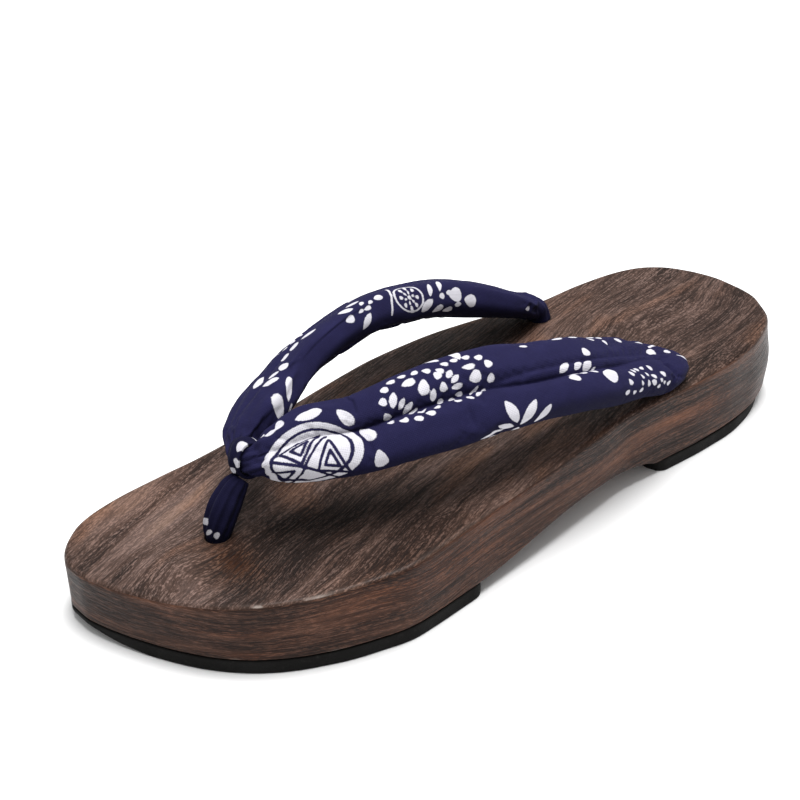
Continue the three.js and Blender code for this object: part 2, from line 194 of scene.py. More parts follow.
def spline(points, shares):
    """A centripetal Catmull-Rom curve through the points; shares run from 0 to 1 over its rows."""
    ends = (2 * points[0] - points[1], 2 * points[-1] - points[-2])
    whole = np.vstack([ends[0], points, ends[1]])
    rows = np.clip(shares, 0, 1) * (len(points) - 1)
    i = np.minimum(rows.astype(int), len(points) - 2)
    t = (rows - i)[:, None]
    gaps = np.sqrt(np.linalg.norm(np.diff(whole, axis=0), axis=1))[:, None]
    a, b, c, d = (whole[i + k] for k in range(4))
    ab, bc, cd = (gaps[i + k] for k in range(3))
    start = ((b - a) / ab - (c - a) / (ab + bc) + (c - b) / bc) * bc
    end = ((c - b) / bc - (d - b) / (bc + cd) + (d - c) / cd) * bc
    cubic = 2 * b - 2 * c + start + end
    square = -3 * b + 3 * c - 2 * start - end
    return ((cubic * t + square) * t + start) * t + b


PATH_STEPS = 4000
SMALL_STEP = 1e-4


def evenly_along(nodes, count):
    """Stations evenly spaced along the curve through the nodes: how far along it each one is,
    its share of the rows, its point, and the unit direction there."""
    dense = np.linspace(0, 1, PATH_STEPS)
    steps = np.linalg.norm(np.diff(spline(nodes, dense), axis=0), axis=1)
    run = np.concatenate([[0], np.cumsum(steps)])
    s = np.linspace(0, run[-1], count)
    shares = np.interp(s, run, dense)
    after = spline(nodes, np.minimum(shares + SMALL_STEP, 1))
    before = spline(nodes, np.maximum(shares - SMALL_STEP, 0))
    return s, shares, spline(nodes, shares), unit(after - before)


NOISE_CELLS = 32


def lumps(points, size, seed):
    """Soft seeded noise from -1 to 1, with features of that size, at each point."""
    lattice = np.random.default_rng(seed).uniform(-1, 1, (NOISE_CELLS,) * 3)
    cell = points / size
    low = np.floor(cell).astype(int)
    t = cell - low
    t = t * t * (3 - 2 * t)
    total = np.zeros(points.shape[:-1])
    for corner in itertools.product((0, 1), repeat=3):
        weight = np.prod(np.where(corner, t, 1 - t), axis=-1)
        i, j, k = np.moveaxis((low + corner) % NOISE_CELLS, -1, 0)
        total += weight * lattice[i, j, k]
    return total


def bell(value, width):
    return np.exp(-((value / width) ** 2))


def unit(vectors):
    return vectors / np.linalg.norm(vectors, axis=-1, keepdims=True)


def smooth_step(value, start, end):
    t = np.clip((value - start) / (end - start), 0, 1)
    return t * t * (3 - 2 * t)


# ---------------- meshes
def mesh_object(name, points, faces, values=None):
    """A smooth mesh from points in millimetres, with a point attribute for each entry in values."""
    mesh = bpy.data.meshes.new(name)
    mesh.from_pydata((np.asarray(points) * MM).tolist(), [], faces)
    for key, value in (values or {}).items():
        kind = "FLOAT" if np.ndim(value) == 1 else "FLOAT_VECTOR"
        field = "value" if kind == "FLOAT" else "vector"
        attribute = mesh.attributes.new(key, kind, "POINT")
        attribute.data.foreach_set(field, np.asarray(value, np.float32).ravel())
    mesh.shade_smooth()
    return placed(name, mesh)


def grid_faces(rows, columns, closed_rows=False):
    """Quads over rows of points whose columns close on themselves."""
    last = rows if closed_rows else rows - 1
    faces = []
    for i in range(last):
        here = i * columns
        there = ((i + 1) % rows) * columns
        for j in range(columns):
            k = (j + 1) % columns
            faces.append((here + j, here + k, there + k, there + j))
    return faces


def tube_faces(rows, columns, closed_rows=False):
    """Quads round a tube, and a cap over each end unless its rows close on themselves."""
    faces = grid_faces(rows, columns, closed_rows)
    if not closed_rows:
        faces.append(tuple(range(columns))[::-1])
        faces.append(tuple(range((rows - 1) * columns, rows * columns)))
    return faces


def outward_normals(grid, closed_rows=False):
    """Unit normals of a closed-column grid of points, pointing away from each row's centre."""
    if closed_rows:
        down = np.roll(grid, -1, 0) - np.roll(grid, 1, 0)
    else:
        down = np.gradient(grid, axis=0)
    round_ = np.roll(grid, -1, 1) - np.roll(grid, 1, 1)
    normals = np.cross(round_, down)
    normals /= np.maximum(np.linalg.norm(normals, axis=-1, keepdims=True), 1e-9)
    outwards = grid - grid.mean(axis=1, keepdims=True)
    if np.sum(normals * outwards) < 0:
        normals = -normals
    return normals


def finer(grid, count, axis, closed):
    """The grid resampled along one axis with a cubic through its points."""
    size = grid.shape[axis]
    place = np.arange(count) * (size / count if closed else (size - 1) / (count - 1))
    i = np.floor(place).astype(int)
    t = place - i
    shape = [1] * grid.ndim
    shape[axis] = count
    t = t.reshape(shape)

    def row(offset):
        index = (i + offset) % size if closed else np.clip(i + offset, 0, size - 1)
        return np.take(grid, index, axis=axis)

    a, b, c, d = row(-1), row(0), row(1), row(2)
    return b + 0.5 * t * (c - a + t * (2 * a - 5 * b + 4 * c - d + t * (3 * (b - c) + d - a)))


# ---------------- the board's outline
def sweep_angle(x):
    return np.arccos(np.clip(-np.asarray(x, float) / HALF_LENGTH, -1, 1))


def plan_edge(column):
    return lambda x: through(sweep_angle(PLAN[:, 0]), PLAN[:, column], sweep_angle(x))


def height(table):
    return lambda x: through(table[:, 0], table[:, 1], x)


outer_edge = plan_edge(1)
inner_edge = plan_edge(2)
top_height = height(TOP)
underside_height = height(UNDERSIDE)
tread_height = height(TREAD)


def on_the_ground(x):
    return np.zeros(np.shape(x))


def stations_between(start, end, count):
    angles = np.linspace(sweep_angle(start), sweep_angle(end), count + 1)
    return -HALF_LENGTH * np.cos(angles)


def plan_loop(stations, cut_end):
    """The outer edge from heel to toe, then the inner edge back. A cut end has round corners."""
    trim = np.zeros(len(stations))
    if cut_end is not None:
        left = np.clip(PAD_CORNER - np.abs(stations - cut_end), 0, PAD_CORNER)
        trim = PAD_CORNER - np.sqrt(PAD_CORNER**2 - left**2)
    outer = np.column_stack([stations, outer_edge(stations) - trim])
    inner = np.column_stack([stations, inner_edge(stations) + trim])
    return np.vstack([outer, inner[::-1]])


SHARPEST_MITRE = 0.6  # lowest cosine used, so that a sharp corner doesn't run away


def inset(loop, distance):
    """The loop moved inwards by that distance."""
    step = np.roll(loop, -1, 0) - loop
    after = unit(np.column_stack([step[:, 1], -step[:, 0]]))
    before = np.roll(after, 1, 0)
    middle = unit(before + after)
    stretch = np.maximum(SHARPEST_MITRE, (middle * before).sum(1))
    return loop + middle * (distance / stretch)[:, None]


ROUNDING_STEPS = 5


def slab(stations, cut_end, bottom_at, top_at, bevel, rounding, wall_steps, columns):
    """A plate with the board's outline: rings up its wall, then a grid over each face.
    Returns its points, its faces, and each point's ring, counted from the bottom."""
    loop = plan_loop(stations, cut_end)
    arc = np.radians(np.linspace(0, 90, ROUNDING_STEPS))
    rings = [(bevel * (1 - math.sin(a)), 0, bevel * (1 - math.cos(a))) for a in arc]
    for share in np.linspace(0, 1, wall_steps + 1)[1:-1]:
        rings.append((0, share, bevel * (1 - share) - rounding * share))
    rings += [(rounding * (1 - math.cos(a)), 1, rounding * (math.sin(a) - 1)) for a in arc]
    points = []
    for distance, share, lift in rings:
        ring = inset(loop, distance)
        z = bottom_at(ring[:, 0]) * (1 - share) + top_at(ring[:, 0]) * share + lift
        points.append(np.column_stack([ring, z]))
    size = len(loop)
    count = len(stations)
    faces = [(a, d, c, b) for a, b, c, d in grid_faces(len(rings), size)]
    ring_of = [np.repeat(np.arange(len(rings)), size)]
    total = len(rings) * size
    share = (np.arange(1, columns) / columns)[None, :, None]
    for ring, height_at in ((0, bottom_at), (len(rings) - 1, top_at)):
        outer, inner = points[ring][:count], points[ring][count:][::-1]
        between = outer[1:-1, None] * (1 - share) + inner[1:-1, None] * share
        between[..., 2] = height_at(between[..., 0])
        points.append(between.reshape(-1, 3))
        ring_of.append(np.full(len(points[-1]), len(rings) if ring else -1))
        index = np.empty((count, columns + 1), int)
        index[:, 0] = ring * size + np.arange(count)
        index[:, -1] = (ring + 1) * size - 1 - np.arange(count)
        inside = total + np.arange(len(points[-1]))
        index[1:-1, 1:-1] = inside.reshape(count - 2, -1)
        total += len(inside)
        flat = [(index[i, j], index[i, j + 1], index[i + 1, j + 1], index[i + 1, j])
                for i in range(1, count - 2) for j in range(columns)]
        flat.append((index[0, 0], index[0, -1], *index[1, ::-1]))
        flat.append((index[-1, -1], index[-1, 0], *index[-2, :]))
        faces += [tuple(int(v) for v in (f if ring else f[::-1])) for f in flat]
    return np.vstack(points), faces, np.concatenate(ring_of)


# ---------------- material helpers
class Shader:
    """A short way to write one node material."""

    def __init__(self, name):
        self.material = bpy.data.materials.new(name)
        self.material.use_nodes = True
        self.tree = self.material.node_tree
        self.tree.nodes.clear()
        self.surface = self.add("BsdfPrincipled")
        output = self.add("OutputMaterial")
        self.tree.links.new(self.surface.outputs[0], output.inputs[0])

    def add(self, kind, inputs=None, **settings):
        node = self.tree.nodes.new("ShaderNode" + kind)
        for key, value in settings.items():
            setattr(node, key, value)
        for key, value in (inputs or {}).items():
            self.put(node.inputs[key], value)
        return node

    def put(self, socket, value):
        if isinstance(value, bpy.types.NodeSocket):
            self.tree.links.new(value, socket)
        elif isinstance(value, bpy.types.Node):
            self.tree.links.new(value.outputs[0], socket)
        else:
            socket.default_value = value

    def attribute(self, name):
        return self.add("Attribute", attribute_name=name)

    def math(self, operation, a, b, clamp=False):
        return self.add("Math", {0: a, 1: b}, operation=operation, use_clamp=clamp).outputs[0]

    def times(self, a, b, clamp=False):
        return self.math("MULTIPLY", a, b, clamp=clamp)

    def plus(self, a, b, clamp=False):
        return self.math("ADD", a, b, clamp=clamp)

    def ramp(self, value, start, end, low=0.0, high=1.0, smooth=True):
        kind = "SMOOTHSTEP" if smooth else "LINEAR"
        inputs = {"Value": value, "From Min": start, "From Max": end, "To Min": low, "To Max": high}
        return self.add("MapRange", inputs, interpolation_type=kind).outputs[0]

    def mix(self, share, a, b, blend="MIX"):
        node = self.add("Mix", data_type="RGBA", blend_type=blend)
        for socket, value in ((0, share), (6, a), (7, b)):
            self.put(node.inputs[socket], value)
        return node.outputs[2]

    def tinted(self, colour, tint, share=1.0):
        return self.mix(share, colour, tint, "MULTIPLY")

    def shaded(self, colour, value):
        """The colour multiplied by the same value in all its channels."""
        return self.tinted(colour, self.add("CombineColor", {0: value, 1: value, 2: value}))

    def stretched(self, vector, stretch):
        return self.add("VectorMath", {0: vector, 1: stretch}, operation="MULTIPLY").outputs[0]

    def noise(self, vector, detail=2.0, roughness=0.5, distortion=0.0, scale=1.0):
        inputs = {"Vector": vector, "Scale": scale, "Detail": detail, "Roughness": roughness,
                  "Distortion": distortion}
        return self.add("TexNoise", inputs).outputs["Fac"]

    def finish(self, colour, roughness, height, depth, **constants):
        """Links colour, roughness and a bump whose height of 1 stands for depth, in metres."""
        bump = self.add("Bump", {"Height": height, "Distance": depth, "Strength": 1.0})
        self.put(self.surface.inputs["Base Color"], colour)
        self.put(self.surface.inputs["Roughness"], roughness)
        self.put(self.surface.inputs["Normal"], bump)
        for key, value in constants.items():
            self.surface.inputs[key.replace("_", " ")].default_value = value
        return self.material


def rgb(red, green, blue):
    return (red, green, blue, 1.0)


# ---------------- wood
GRAIN_TURN = math.radians(14)  # of the grain from the board's length, towards the outer side
WALL_GRAIN = 200  # the walls take their grain from another part of the same wood

# Bends of the grain: x, y, reach along x, reach along y, how far it pushes the grain aside.
FIGURE = [
    (114, -4, 14, 11, 5), (104, 20, 17, 12, -4), (84, 24, 22, 10, 3.5), (60, 8, 26, 9, -2.5),
    (20, -30, 30, 11, 3), (-20, 12, 34, 12, -3.5), (-84, -12, 26, 13, 5), (-112, 10, 18, 12, -4),
    (44, 38, 24, 9, 2.5), (-60, 26, 26, 10, 3),
]

# Darker (positive) places, burnt wood and painted shade under and between the straps and on the
# heel's walls, and paler (negative) places: x, y, z, reach in x, y and z, strength.
BURNS_AND_SHADE = [
    (82, 18, 28, 24, 12, 12, 0.6), (58, 20, 28, 26, 12, 12, 0.55), (99, 14, 26, 8, 13, 6, 1),
    (86, 28, 27, 16, 7, 6, 0.5), (14, 28, 30, 22, 12, 8, -0.2), (110, -28, 24, 26, 14, 10, -0.4),
    (116, 2, 24, 10, 16, 7, -0.65), (97, -34, 24, 14, 10, 6, -0.6), (58, 45, 29, 20, 8, 5, 1.1),
    (40, 50, 18, 34, 6, 7, -0.4), (84, 45, 20, 22, 12, 8, -1.1), (120, -2, 10, 14, 12, 9, 0.5),
    (128, -22, 12, 10, 14, 12, 0.4), (26, -34, 31, 30, 10, 8, -0.15),
    (-34, -28, 31, 28, 14, 8, 0.45), (-98, -4, 31, 24, 14, 8, -0.05),
    (-124, -2, 31, 12, 12, 8, 0.5), (-120, -24, 31, 12, 10, 8, -0.25), (-95, 24, 31, 26, 8, 8, 0.3),
    (-20, 46, 24, 30, 8, 10, -0.3), (-66, 42, 20, 30, 8, 12, -0.4), (-60, 2, 31, 22, 14, 8, 0.2),
    (50, -20, 28, 26, 14, 8, -0.1), (-104, 36, 20, 18, 9, 9, 0.45), (-127, 22, 18, 16, 16, 10, 0.8),
    (-130, -14, 18, 14, 20, 10, 0.4),
]

# Orange-brown places where the varnish lies thick, in the same columns.
WARMTH = [
    (99, 11, 26, 7, 12, 6, 2), (70, 45, 26, 20, 8, 6, 0.4), (46, 48, 20, 26, 7, 8, 1),
    (82, 45, 20, 22, 10, 10, 0.5), (10, 40, 24, 30, 9, 8, 0.5), (100, -40, 22, 26, 10, 8, 0.5),
    (118, -20, 14, 16, 20, 8, 0.4), (-20, 42, 18, 30, 8, 8, 0.4), (-84, 34, 24, 24, 12, 8, 0.4),
    (-66, 40, 20, 26, 9, 9, 0.6), (-70, -30, 31, 24, 12, 8, 0.4), (-110, 20, 14, 20, 20, 9, 0.4),
    (0, -46, 18, 50, 8, 8, 0.5), (110, -46, 14, 24, 8, 8, 0.5), (30, 0, 29, 20, 12, 6, 0.3),
]


def grain_places(points):
    """Along, across and into the grain, in millimetres, on the top and on the walls."""
    x, y, z = points.T
    along = x * math.cos(GRAIN_TURN) + y * math.sin(GRAIN_TURN)
    across = y * math.cos(GRAIN_TURN) - x * math.sin(GRAIN_TURN)
    for fx, fy, reach_x, reach_y, push in FIGURE:
        across = across + push * bell(x - fx, reach_x) * bell(y - fy, reach_y)
    across = across + 1.6 * lumps(points, 23, 5) + 0.5 * lumps(points, 7, 6)
    wall_across = WALL_GRAIN + 1.3 * z + 2.4 * lumps(points, 26, 7)
    top = np.column_stack([along, across, z])
    wall = np.column_stack([0.6 * x, wall_across, 0.18 * y])
    return top, wall


def gathered(points, places):
    """The strengths of soft round places, added up at each point."""
    found = np.zeros(len(points))
    for x, y, z, reach_x, reach_y, reach_z, strength in places:
        near = bell(points[:, 0] - x, reach_x) * bell(points[:, 1] - y, reach_y)
        found += strength * near * bell(points[:, 2] - z, reach_z)
    return found


# Painted glints of varnish on the edges, highlights put into the colour: x, y, reach, and how far
# up the wall.
PAINTED_GLINTS = [(101, 34, 16, 0.9), (86, 42, 12, 0.09), (112, 24, 8, 0.09), (-118, 31, 9, 0.9)]


# Noises of the wood: stretch along, across and into the grain, detail, roughness, distortion.
GRAIN_NOISES = {
    "bands": ((0.012, 0.12, 0.06), 3, 0.55, 0.5),
    "cloud": ((0.028, 0.06, 0.05), 2, 0.5, 0.3),
    "strokes": ((0.085, 1.3, 0.8), 4, 0.62, 0.25),
    "lines": ((0.14, 2.6, 1.7), 3, 0.6, 0.15),
    "fibres": ((0.75, 2.4, 1.9), 3, 0.65, 0.1),
}

# Colours of the wood, from burnt to pale, with each one's place on the ramp.
WOOD_TONES = [
    (0, rgb(0.0095, 0.0042, 0.0027)), (0.3, rgb(0.027, 0.0138, 0.0098)),
    (0.52, rgb(0.060, 0.034, 0.0255)), (0.74, rgb(0.104, 0.066, 0.055)),
    (1, rgb(0.180, 0.112, 0.084)),
]
DEEP_VARNISH = rgb(0.024, 0.0098, 0.0042)
FLECK = rgb(0.176, 0.116, 0.098)
DARK_STROKE = rgb(0.0062, 0.0028, 0.0018)
THIN_LINE = rgb(0.009, 0.004, 0.0026)
WARM_TINT = rgb(1.24, 0.93, 0.64)
# painted shade: the walls made darker and warmer than the top
WALL_SHADE_TINT = rgb(0.88, 0.65, 0.51)
# pale worn edges, partly a painted highlight
WORN_EDGE_AND_HIGHLIGHT = rgb(0.13, 0.080, 0.060)
# the colour of the painted glints, highlights on the varnished edges
PAINTED_GLINT = rgb(0.36, 0.31, 0.28)
CALMER_WALL = 0.3  # how much fainter the flecks and strokes are on the walls
# how far burnt wood and painted shade darken the tone
BURN_AND_SHADE_DARKENS = 0.13
WALL_BAND_MIDDLE = 0.71
WALL_BAND_GAIN = 0.36
WOOD_RELIEF = 0.00045  # metres


def wood_tone(s, bands, cloud, burn_and_shade, on_wall):
    """The wood's colour before its flecks, strokes and lines."""
    tone = s.plus(s.times(bands, 0.72), s.times(cloud, 0.28))
    # burnt wood and painted shade darken the tone
    tone = s.math("SUBTRACT", tone, s.times(burn_and_shade, BURN_AND_SHADE_DARKENS))
    wall_tone = s.times(s.math("SUBTRACT", bands, WALL_BAND_MIDDLE), WALL_BAND_GAIN)
    tone = s.plus(tone, s.times(on_wall, wall_tone))
    ramp = s.add("ValToRGB", {"Fac": s.ramp(tone, 0.30, 0.70, smooth=False)})
    stops = ramp.color_ramp.elements
    stops[0].color = WOOD_TONES[0][1]
    stops[1].color = WOOD_TONES[-1][1]
    for place, colour in WOOD_TONES[1:-1]:
        stops.new(place).color = colour
    return ramp.outputs[0]


def wood_material():
    """Burnt, brushed and varnished paulownia: dark strokes along the grain over warm brown, with
    painted shade under the straps and on the walls, and painted glints on the edges.
    """
    s = Shader("burnt_wood")
    on_wall = s.math("GREATER_THAN", s.attribute("wall").outputs["Fac"], 0.5)
    grain = s.mix(on_wall, s.attribute("top_grain").outputs["Vector"],
                  s.attribute("wall_grain").outputs["Vector"])
    # burnt wood, and painted shade under and between the straps and on the heel's walls
    burn_and_shade = s.attribute("burn_and_shade").outputs["Fac"]
    warmth = s.attribute("warm").outputs["Fac"]
    wear_and_glint = s.attribute("wear_and_glint").outputs["Fac"]
    bands, cloud, strokes, lines, fibres = (
        s.noise(s.stretched(grain, stretch), *numbers)
        for stretch, *numbers in GRAIN_NOISES.values())
    calm = s.math("SUBTRACT", 1.0, s.times(on_wall, CALMER_WALL))

    base = wood_tone(s, bands, cloud, burn_and_shade, on_wall)
    base = s.mix(s.ramp(warmth, 1.2, 2.0, 0.0, 0.85), base, DEEP_VARNISH)
    fleck = s.plus(s.times(strokes, 0.5), s.times(fibres, 0.5))
    pale = s.times(s.ramp(fleck, 0.49, 0.60), s.ramp(burn_and_shade, 0.5, -0.4, 0.3, 0.68))
    pale = s.times(pale, s.ramp(warmth, 1.2, 2.0, 1.0, 0.3))
    base = s.mix(s.times(pale, calm), base, FLECK)
    depth = s.plus(0.34, s.times(burn_and_shade, 0.66), clamp=True)
    dark = s.times(s.ramp(strokes, 0.475, 0.415), s.plus(0.22, depth), clamp=True)
    base = s.mix(s.times(s.times(dark, calm), 0.9), base, DARK_STROKE)
    thin = s.times(s.ramp(lines, 0.465, 0.41), s.plus(0.15, depth), clamp=True)
    base = s.mix(s.times(s.times(thin, calm), 0.75), base, THIN_LINE)

    base = s.shaded(base, s.ramp(fibres, 0.3, 0.7, 0.68, 1.3))
    warm = s.plus(s.ramp(cloud, 0.5, 0.66, 0.0, 0.55), s.times(warmth, 0.6), clamp=True)
    base = s.tinted(base, WARM_TINT, warm)
    # painted shade: the walls darker and warmer than the top
    base = s.tinted(base, WALL_SHADE_TINT, on_wall)
    # pale worn edges, partly a painted highlight
    base = s.mix(s.times(wear_and_glint, 0.2, clamp=True), base, WORN_EDGE_AND_HIGHLIGHT)
    # painted glints: highlights put into the colour on the edges
    base = s.mix(s.ramp(wear_and_glint, 1.1, 2.4, 0.0, 0.8), base, PAINTED_GLINT)
    relief = s.plus(s.times(strokes, 0.6), s.times(lines, 0.4))
    rough = s.ramp(strokes, 0.35, 0.6, 0.52, 0.36)
    return s.finish(base, rough, relief, WOOD_RELIEF, Coat_Weight=0.05, Coat_Roughness=0.2,
                    Coat_IOR=1.45, Specular_IOR_Level=0.12)


def hole_cutter(places):
    """One turned plug for each hole: the hole itself and the wider recess below it."""
    profile = [(RECESS_RADIUS, -1), (RECESS_RADIUS, RECESS_TOP),
               (HOLE_RADIUS, RECESS_TOP), (HOLE_RADIUS, CUTTER_TOP)]
    turns = [2 * math.pi * k / HOLE_SIDES for k in range(HOLE_SIDES)]
    points, faces = [], []
    for x, y in places:
        first = len(points)
        points += [(x + radius * math.cos(turn), y + radius * math.sin(turn), z)
                   for radius, z in profile for turn in turns]
        tube = tube_faces(len(profile), HOLE_SIDES)
        faces += [tuple(first + corner for corner in face) for face in tube]
    return mesh_object("hole_cutter", np.array(points), faces)


def middle_line(x):
    """y of the line about which the strap's two arms mirror each other."""
    return -2.5 - 0.03 * x


def apply_modifiers(thing):
    """Makes the modifiers' result the mesh itself."""
    graph = bpy.context.evaluated_depsgraph_get()
    made = bpy.data.meshes.new_from_object(thing.evaluated_get(graph))
    thing.modifiers.clear()
    thing.data = made


def heel_swell(points):
    """Outward directions round the back of the heel, fading to nothing ahead of it."""
    out = points[:, :2] - HEEL_CENTRE
    reach = np.linalg.norm(out, axis=1)
    inside = np.minimum(1, reach / HEEL_REACH) ** 4
    share = inside * smooth_step(points[:, 0], HEEL_CENTRE[0], HEEL_SWELL_FULL)
    return out / np.maximum(reach, 1)[:, None] * share[:, None]


BOARD_MIDDLE = np.array([0, -2, 18])
WORN_AWAY = 0.12  # how far the uneven surface lies inside the plain one, on the whole
TOP_EDGE = 2.5  # rings below the top at which its edge is palest: wear with a painted highlight
BASE_EDGE = 2  # and rings above the underside


def worn_and_glinting_edges(points, ring):
    """How pale each point's edge is: wear in patches along both edges, and painted glints where
    highlights fall.
    """
    rings = ring.max()
    worn = bell(ring - (rings - TOP_EDGE), 1.6) * smooth_step(lumps(points, 9, 8), -0.7, 0.9)
    worn += bell(ring - BASE_EDGE, 1.5) * smooth_step(lumps(points, 12, 9), -0.5, 0.8)
    patchy = 1.4 + 1.6 * lumps(points, 3.2, 10)
    for x, y, reach, up_the_wall in PAINTED_GLINTS:
        near = bell(points[:, 0] - x, reach) * bell(points[:, 1] - y, reach)
        worn += near * bell(ring - up_the_wall * rings, 0.8) * patchy
    return worn


def make_board():
    stations = stations_between(-HALF_LENGTH, HALF_LENGTH, BOARD_STATIONS)
    points, faces, ring = slab(stations, None, underside_height, top_height, BASE_BEVEL, TOP_ROUND,
                               WALL_STEPS, BOARD_COLUMNS)
    on_wall = (ring >= 2) & (ring < ring.max() - 3)
    top_grain, wall_grain = grain_places(points)
    # the burn values hold burnt wood together with painted shade
    values = {"top_grain": top_grain, "wall_grain": wall_grain, "wall": on_wall.astype(float),
              "burn_and_shade": gathered(points, BURNS_AND_SHADE), "warm": gathered(points, WARMTH),
              # worn edges together with painted glints
              "wear_and_glint": worn_and_glinting_edges(points, ring)}
    soft = 0.16 * lumps(points, 21, 1) + 0.07 * lumps(points, 8, 2) - WORN_AWAY
    away = unit((points - BOARD_MIDDLE) * (0.2, 1, 2))
    points = points + away * soft[:, None] * (ring >= 3)[:, None]
    level = bell(points[:, 2:] - HEEL_BULGE_HEIGHT, HEEL_BULGE_REACH)
    points[:, :2] += heel_swell(points) * level * HEEL_BULGE
    board = mesh_object("wooden_board", points, faces, values)
    places = [FRONT_HOLE]
    for side in (1, -1):
        x = REAR_HOLE["x"] - side * REAR_HOLE["skew"]
        places.append((x, middle_line(x) + side * REAR_HOLE["spread"]))
    cutter = hole_cutter(places)
    cut = board.modifiers.new("holes", "BOOLEAN")
    cut.object = cutter
    cut.operation = "DIFFERENCE"
    cut.solver = "EXACT"
    apply_modifiers(board)
    bpy.data.objects.remove(cutter)
    board.data.set_sharp_from_angle(angle=math.radians(40))
    board.data.materials.clear()
    board.data.materials.append(wood_material())
    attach(board, "root")
    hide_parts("board")


# ---------------- rubber
RIB_PITCH = 4.2
RIB_DEPTH = 0.5
RIB_SLANT = 0.35
PAD_UNEVEN = 0.1
RUBBER_DARK = rgb(0.0036, 0.0034, 0.0032)
RUBBER_PALE = rgb(0.0070, 0.0066, 0.0062)
RUBBER_DUST = rgb(0.030, 0.028, 0.026)
RUBBER_RELIEF = 0.00018  # metres


def rubber_material():
    s = Shader("sponge_rubber")
    place = s.add("TexCoord").outputs["Object"]
    pores = s.noise(place, 2, 0.6, scale=2600.0)
    patches = s.noise(place, 3, 0.6, scale=90.0)
    dust = s.noise(place, 4, 0.7, scale=420.0)
    colour = s.mix(patches, RUBBER_DARK, RUBBER_PALE)
    colour = s.mix(s.times(s.ramp(dust, 0.58, 0.74), 0.4), colour, RUBBER_DUST)
    rough = s.ramp(patches, 0.3, 0.7, 0.66, 0.86)
    relief = s.plus(pores, s.times(dust, 0.6))
    return s.finish(colour, rough, relief, RUBBER_RELIEF, Specular_IOR_Level=0.12)


def make_pad(name, node, start, end, cut_end, bottom_at, material):
    stations = stations_between(start, end, PAD_STATIONS)

    def pad_top(x):
        return np.full(np.shape(x), WOOD_BASE - SEAM)

    points, faces, ring = slab(stations, cut_end, bottom_at, pad_top, PAD_BEVEL, PAD_BEVEL,
                               PAD_WALL_STEPS, PAD_COLUMNS)
    tread = ring == -1
    slanted = points[:, 0] + RIB_SLANT * np.abs(points[:, 1])
    wave = np.abs((slanted / RIB_PITCH) % 1 - 0.5) * 2
    points[:, 2] += tread * RIB_DEPTH * smooth_step(wave, 0.55, 0.8)
    walls = (ring >= 2) & (ring < ring.max() - 2)
    points[:, 1] += walls * PAD_UNEVEN * lumps(points, 6, 11)
    sunk = 1 + 0.5 * (1 - points[:, 2:] / WOOD_BASE)
    points[:, :2] -= heel_swell(points) * sunk * HEEL_TUCK
    pad = mesh_object(name, points, faces)
    pad.data.set_sharp_from_angle(angle=math.radians(50))
    pad.data.materials.append(material)
    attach(pad, "root")
    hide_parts(node)


# ---------------- the printed cotton
def lens(s, w, at_s, at_w, length, width, turn):
    """Distance in millimetres from a pointed leaf."""
    along, across = turned(s, w, at_s, at_w, turn)
    a, b = length / 2, width / 2
    radius = (a * a + b * b) / (2 * b)
    return np.hypot(along, np.abs(across) + radius - b) - radius


def petal(s, w, at_s, at_w, length, width, turn):
    """Distance from an egg-shaped petal whose blunt end points along its turn."""
    along, across = turned(s, w, at_s, at_w, turn)
    half = width / 2 * (1 + 0.35 * np.clip(2 * along / length, -1, 1))
    return (np.hypot(along / (length / 2), across / half) - 1) * width / 2


def turned(s, w, at_s, at_w, turn):
    """Places along and across a motif that is turned by that many degrees."""
    c, d = math.cos(math.radians(turn)), math.sin(math.radians(turn))
    return (s - at_s) * c + (w - at_w) * d, (w - at_w) * c - (s - at_s) * d


def stroke(s, w, start, end, thickness):
    """Distance from a straight line of that thickness."""
    a, b = np.array(start, float), np.array(end, float)
    span = b - a
    t = np.clip(((s - a[0]) * span[0] + (w - a[1]) * span[1]) / (span @ span), 0, 1)
    return np.hypot(s - a[0] - t * span[0], w - a[1] - t * span[1]) - thickness / 2


def oval_ring(s, w, at_s, at_w, length, width, thickness):
    """Distance from an oval line of that thickness."""
    reach = np.hypot((s - at_s) / (length / 2), (w - at_w) / (width / 2))
    return np.abs(reach - 1) * (length + width) / 4 - thickness / 2


def triangle(u, v, corners, shrink, thickness):
    """Distance from the outline of a triangle drawn in towards its middle."""
    corners = np.array(corners)
    middle = corners.mean(axis=0)
    a, b, c = middle + (corners - middle) * shrink
    sides = (stroke(u, v, p, q, thickness) for p, q in ((a, b), (b, c), (c, a)))
    return np.minimum.reduce(list(sides))


# The medallion: its half length and half width, its rim and its lines, then its two crossing
# lines from its middle, and the corners and number of its nested triangles.
MEDALLION_REACH = (14.8, 11.3)
MEDALLION_SCALE = 12  # millimetres from its middle to its edge, on the whole
RIM_AT = 0.8
RIM_WIDTH = 0.9
CROSS_WIDTH = 0.9
TRIANGLE_LINE = 0.95
NESTING = 1.1
CROSS_LINES = [((-9, 8.8), (5, -5)), ((-10.8, -2), (6.4, 10.3))]
TRIANGLES = [
    (((5.6, -3.2), (0.5, 6), (10.2, 8.4)), 2), (((-9.2, -4), (3.2, -6.4), (-4, 2.2)), 2),
    (((-12.4, 0.8), (-10.2, 6.2), (-6.6, 3)), 1),
]


def medallion(s, w, at_s, at_w):
    """A white oval cut by dark lines: a rim, two crossing lines, and nested triangles between."""
    u, v = s - at_s, w - at_w
    reach = np.hypot(u / MEDALLION_REACH[0], v / MEDALLION_REACH[1])
    rim = np.abs(reach - RIM_AT) * MEDALLION_SCALE - RIM_WIDTH / 2
    found = np.maximum((reach - 1) * MEDALLION_SCALE, -rim)
    for start, end in CROSS_LINES:
        found = np.maximum(found, -stroke(u, v, start, end, CROSS_WIDTH))
    for corners, count in TRIANGLES:
        for k in range(count):
            shrink = 1 - NESTING / count * k
            found = np.maximum(found, -triangle(u, v, corners, shrink, TRIANGLE_LINE))
    return found


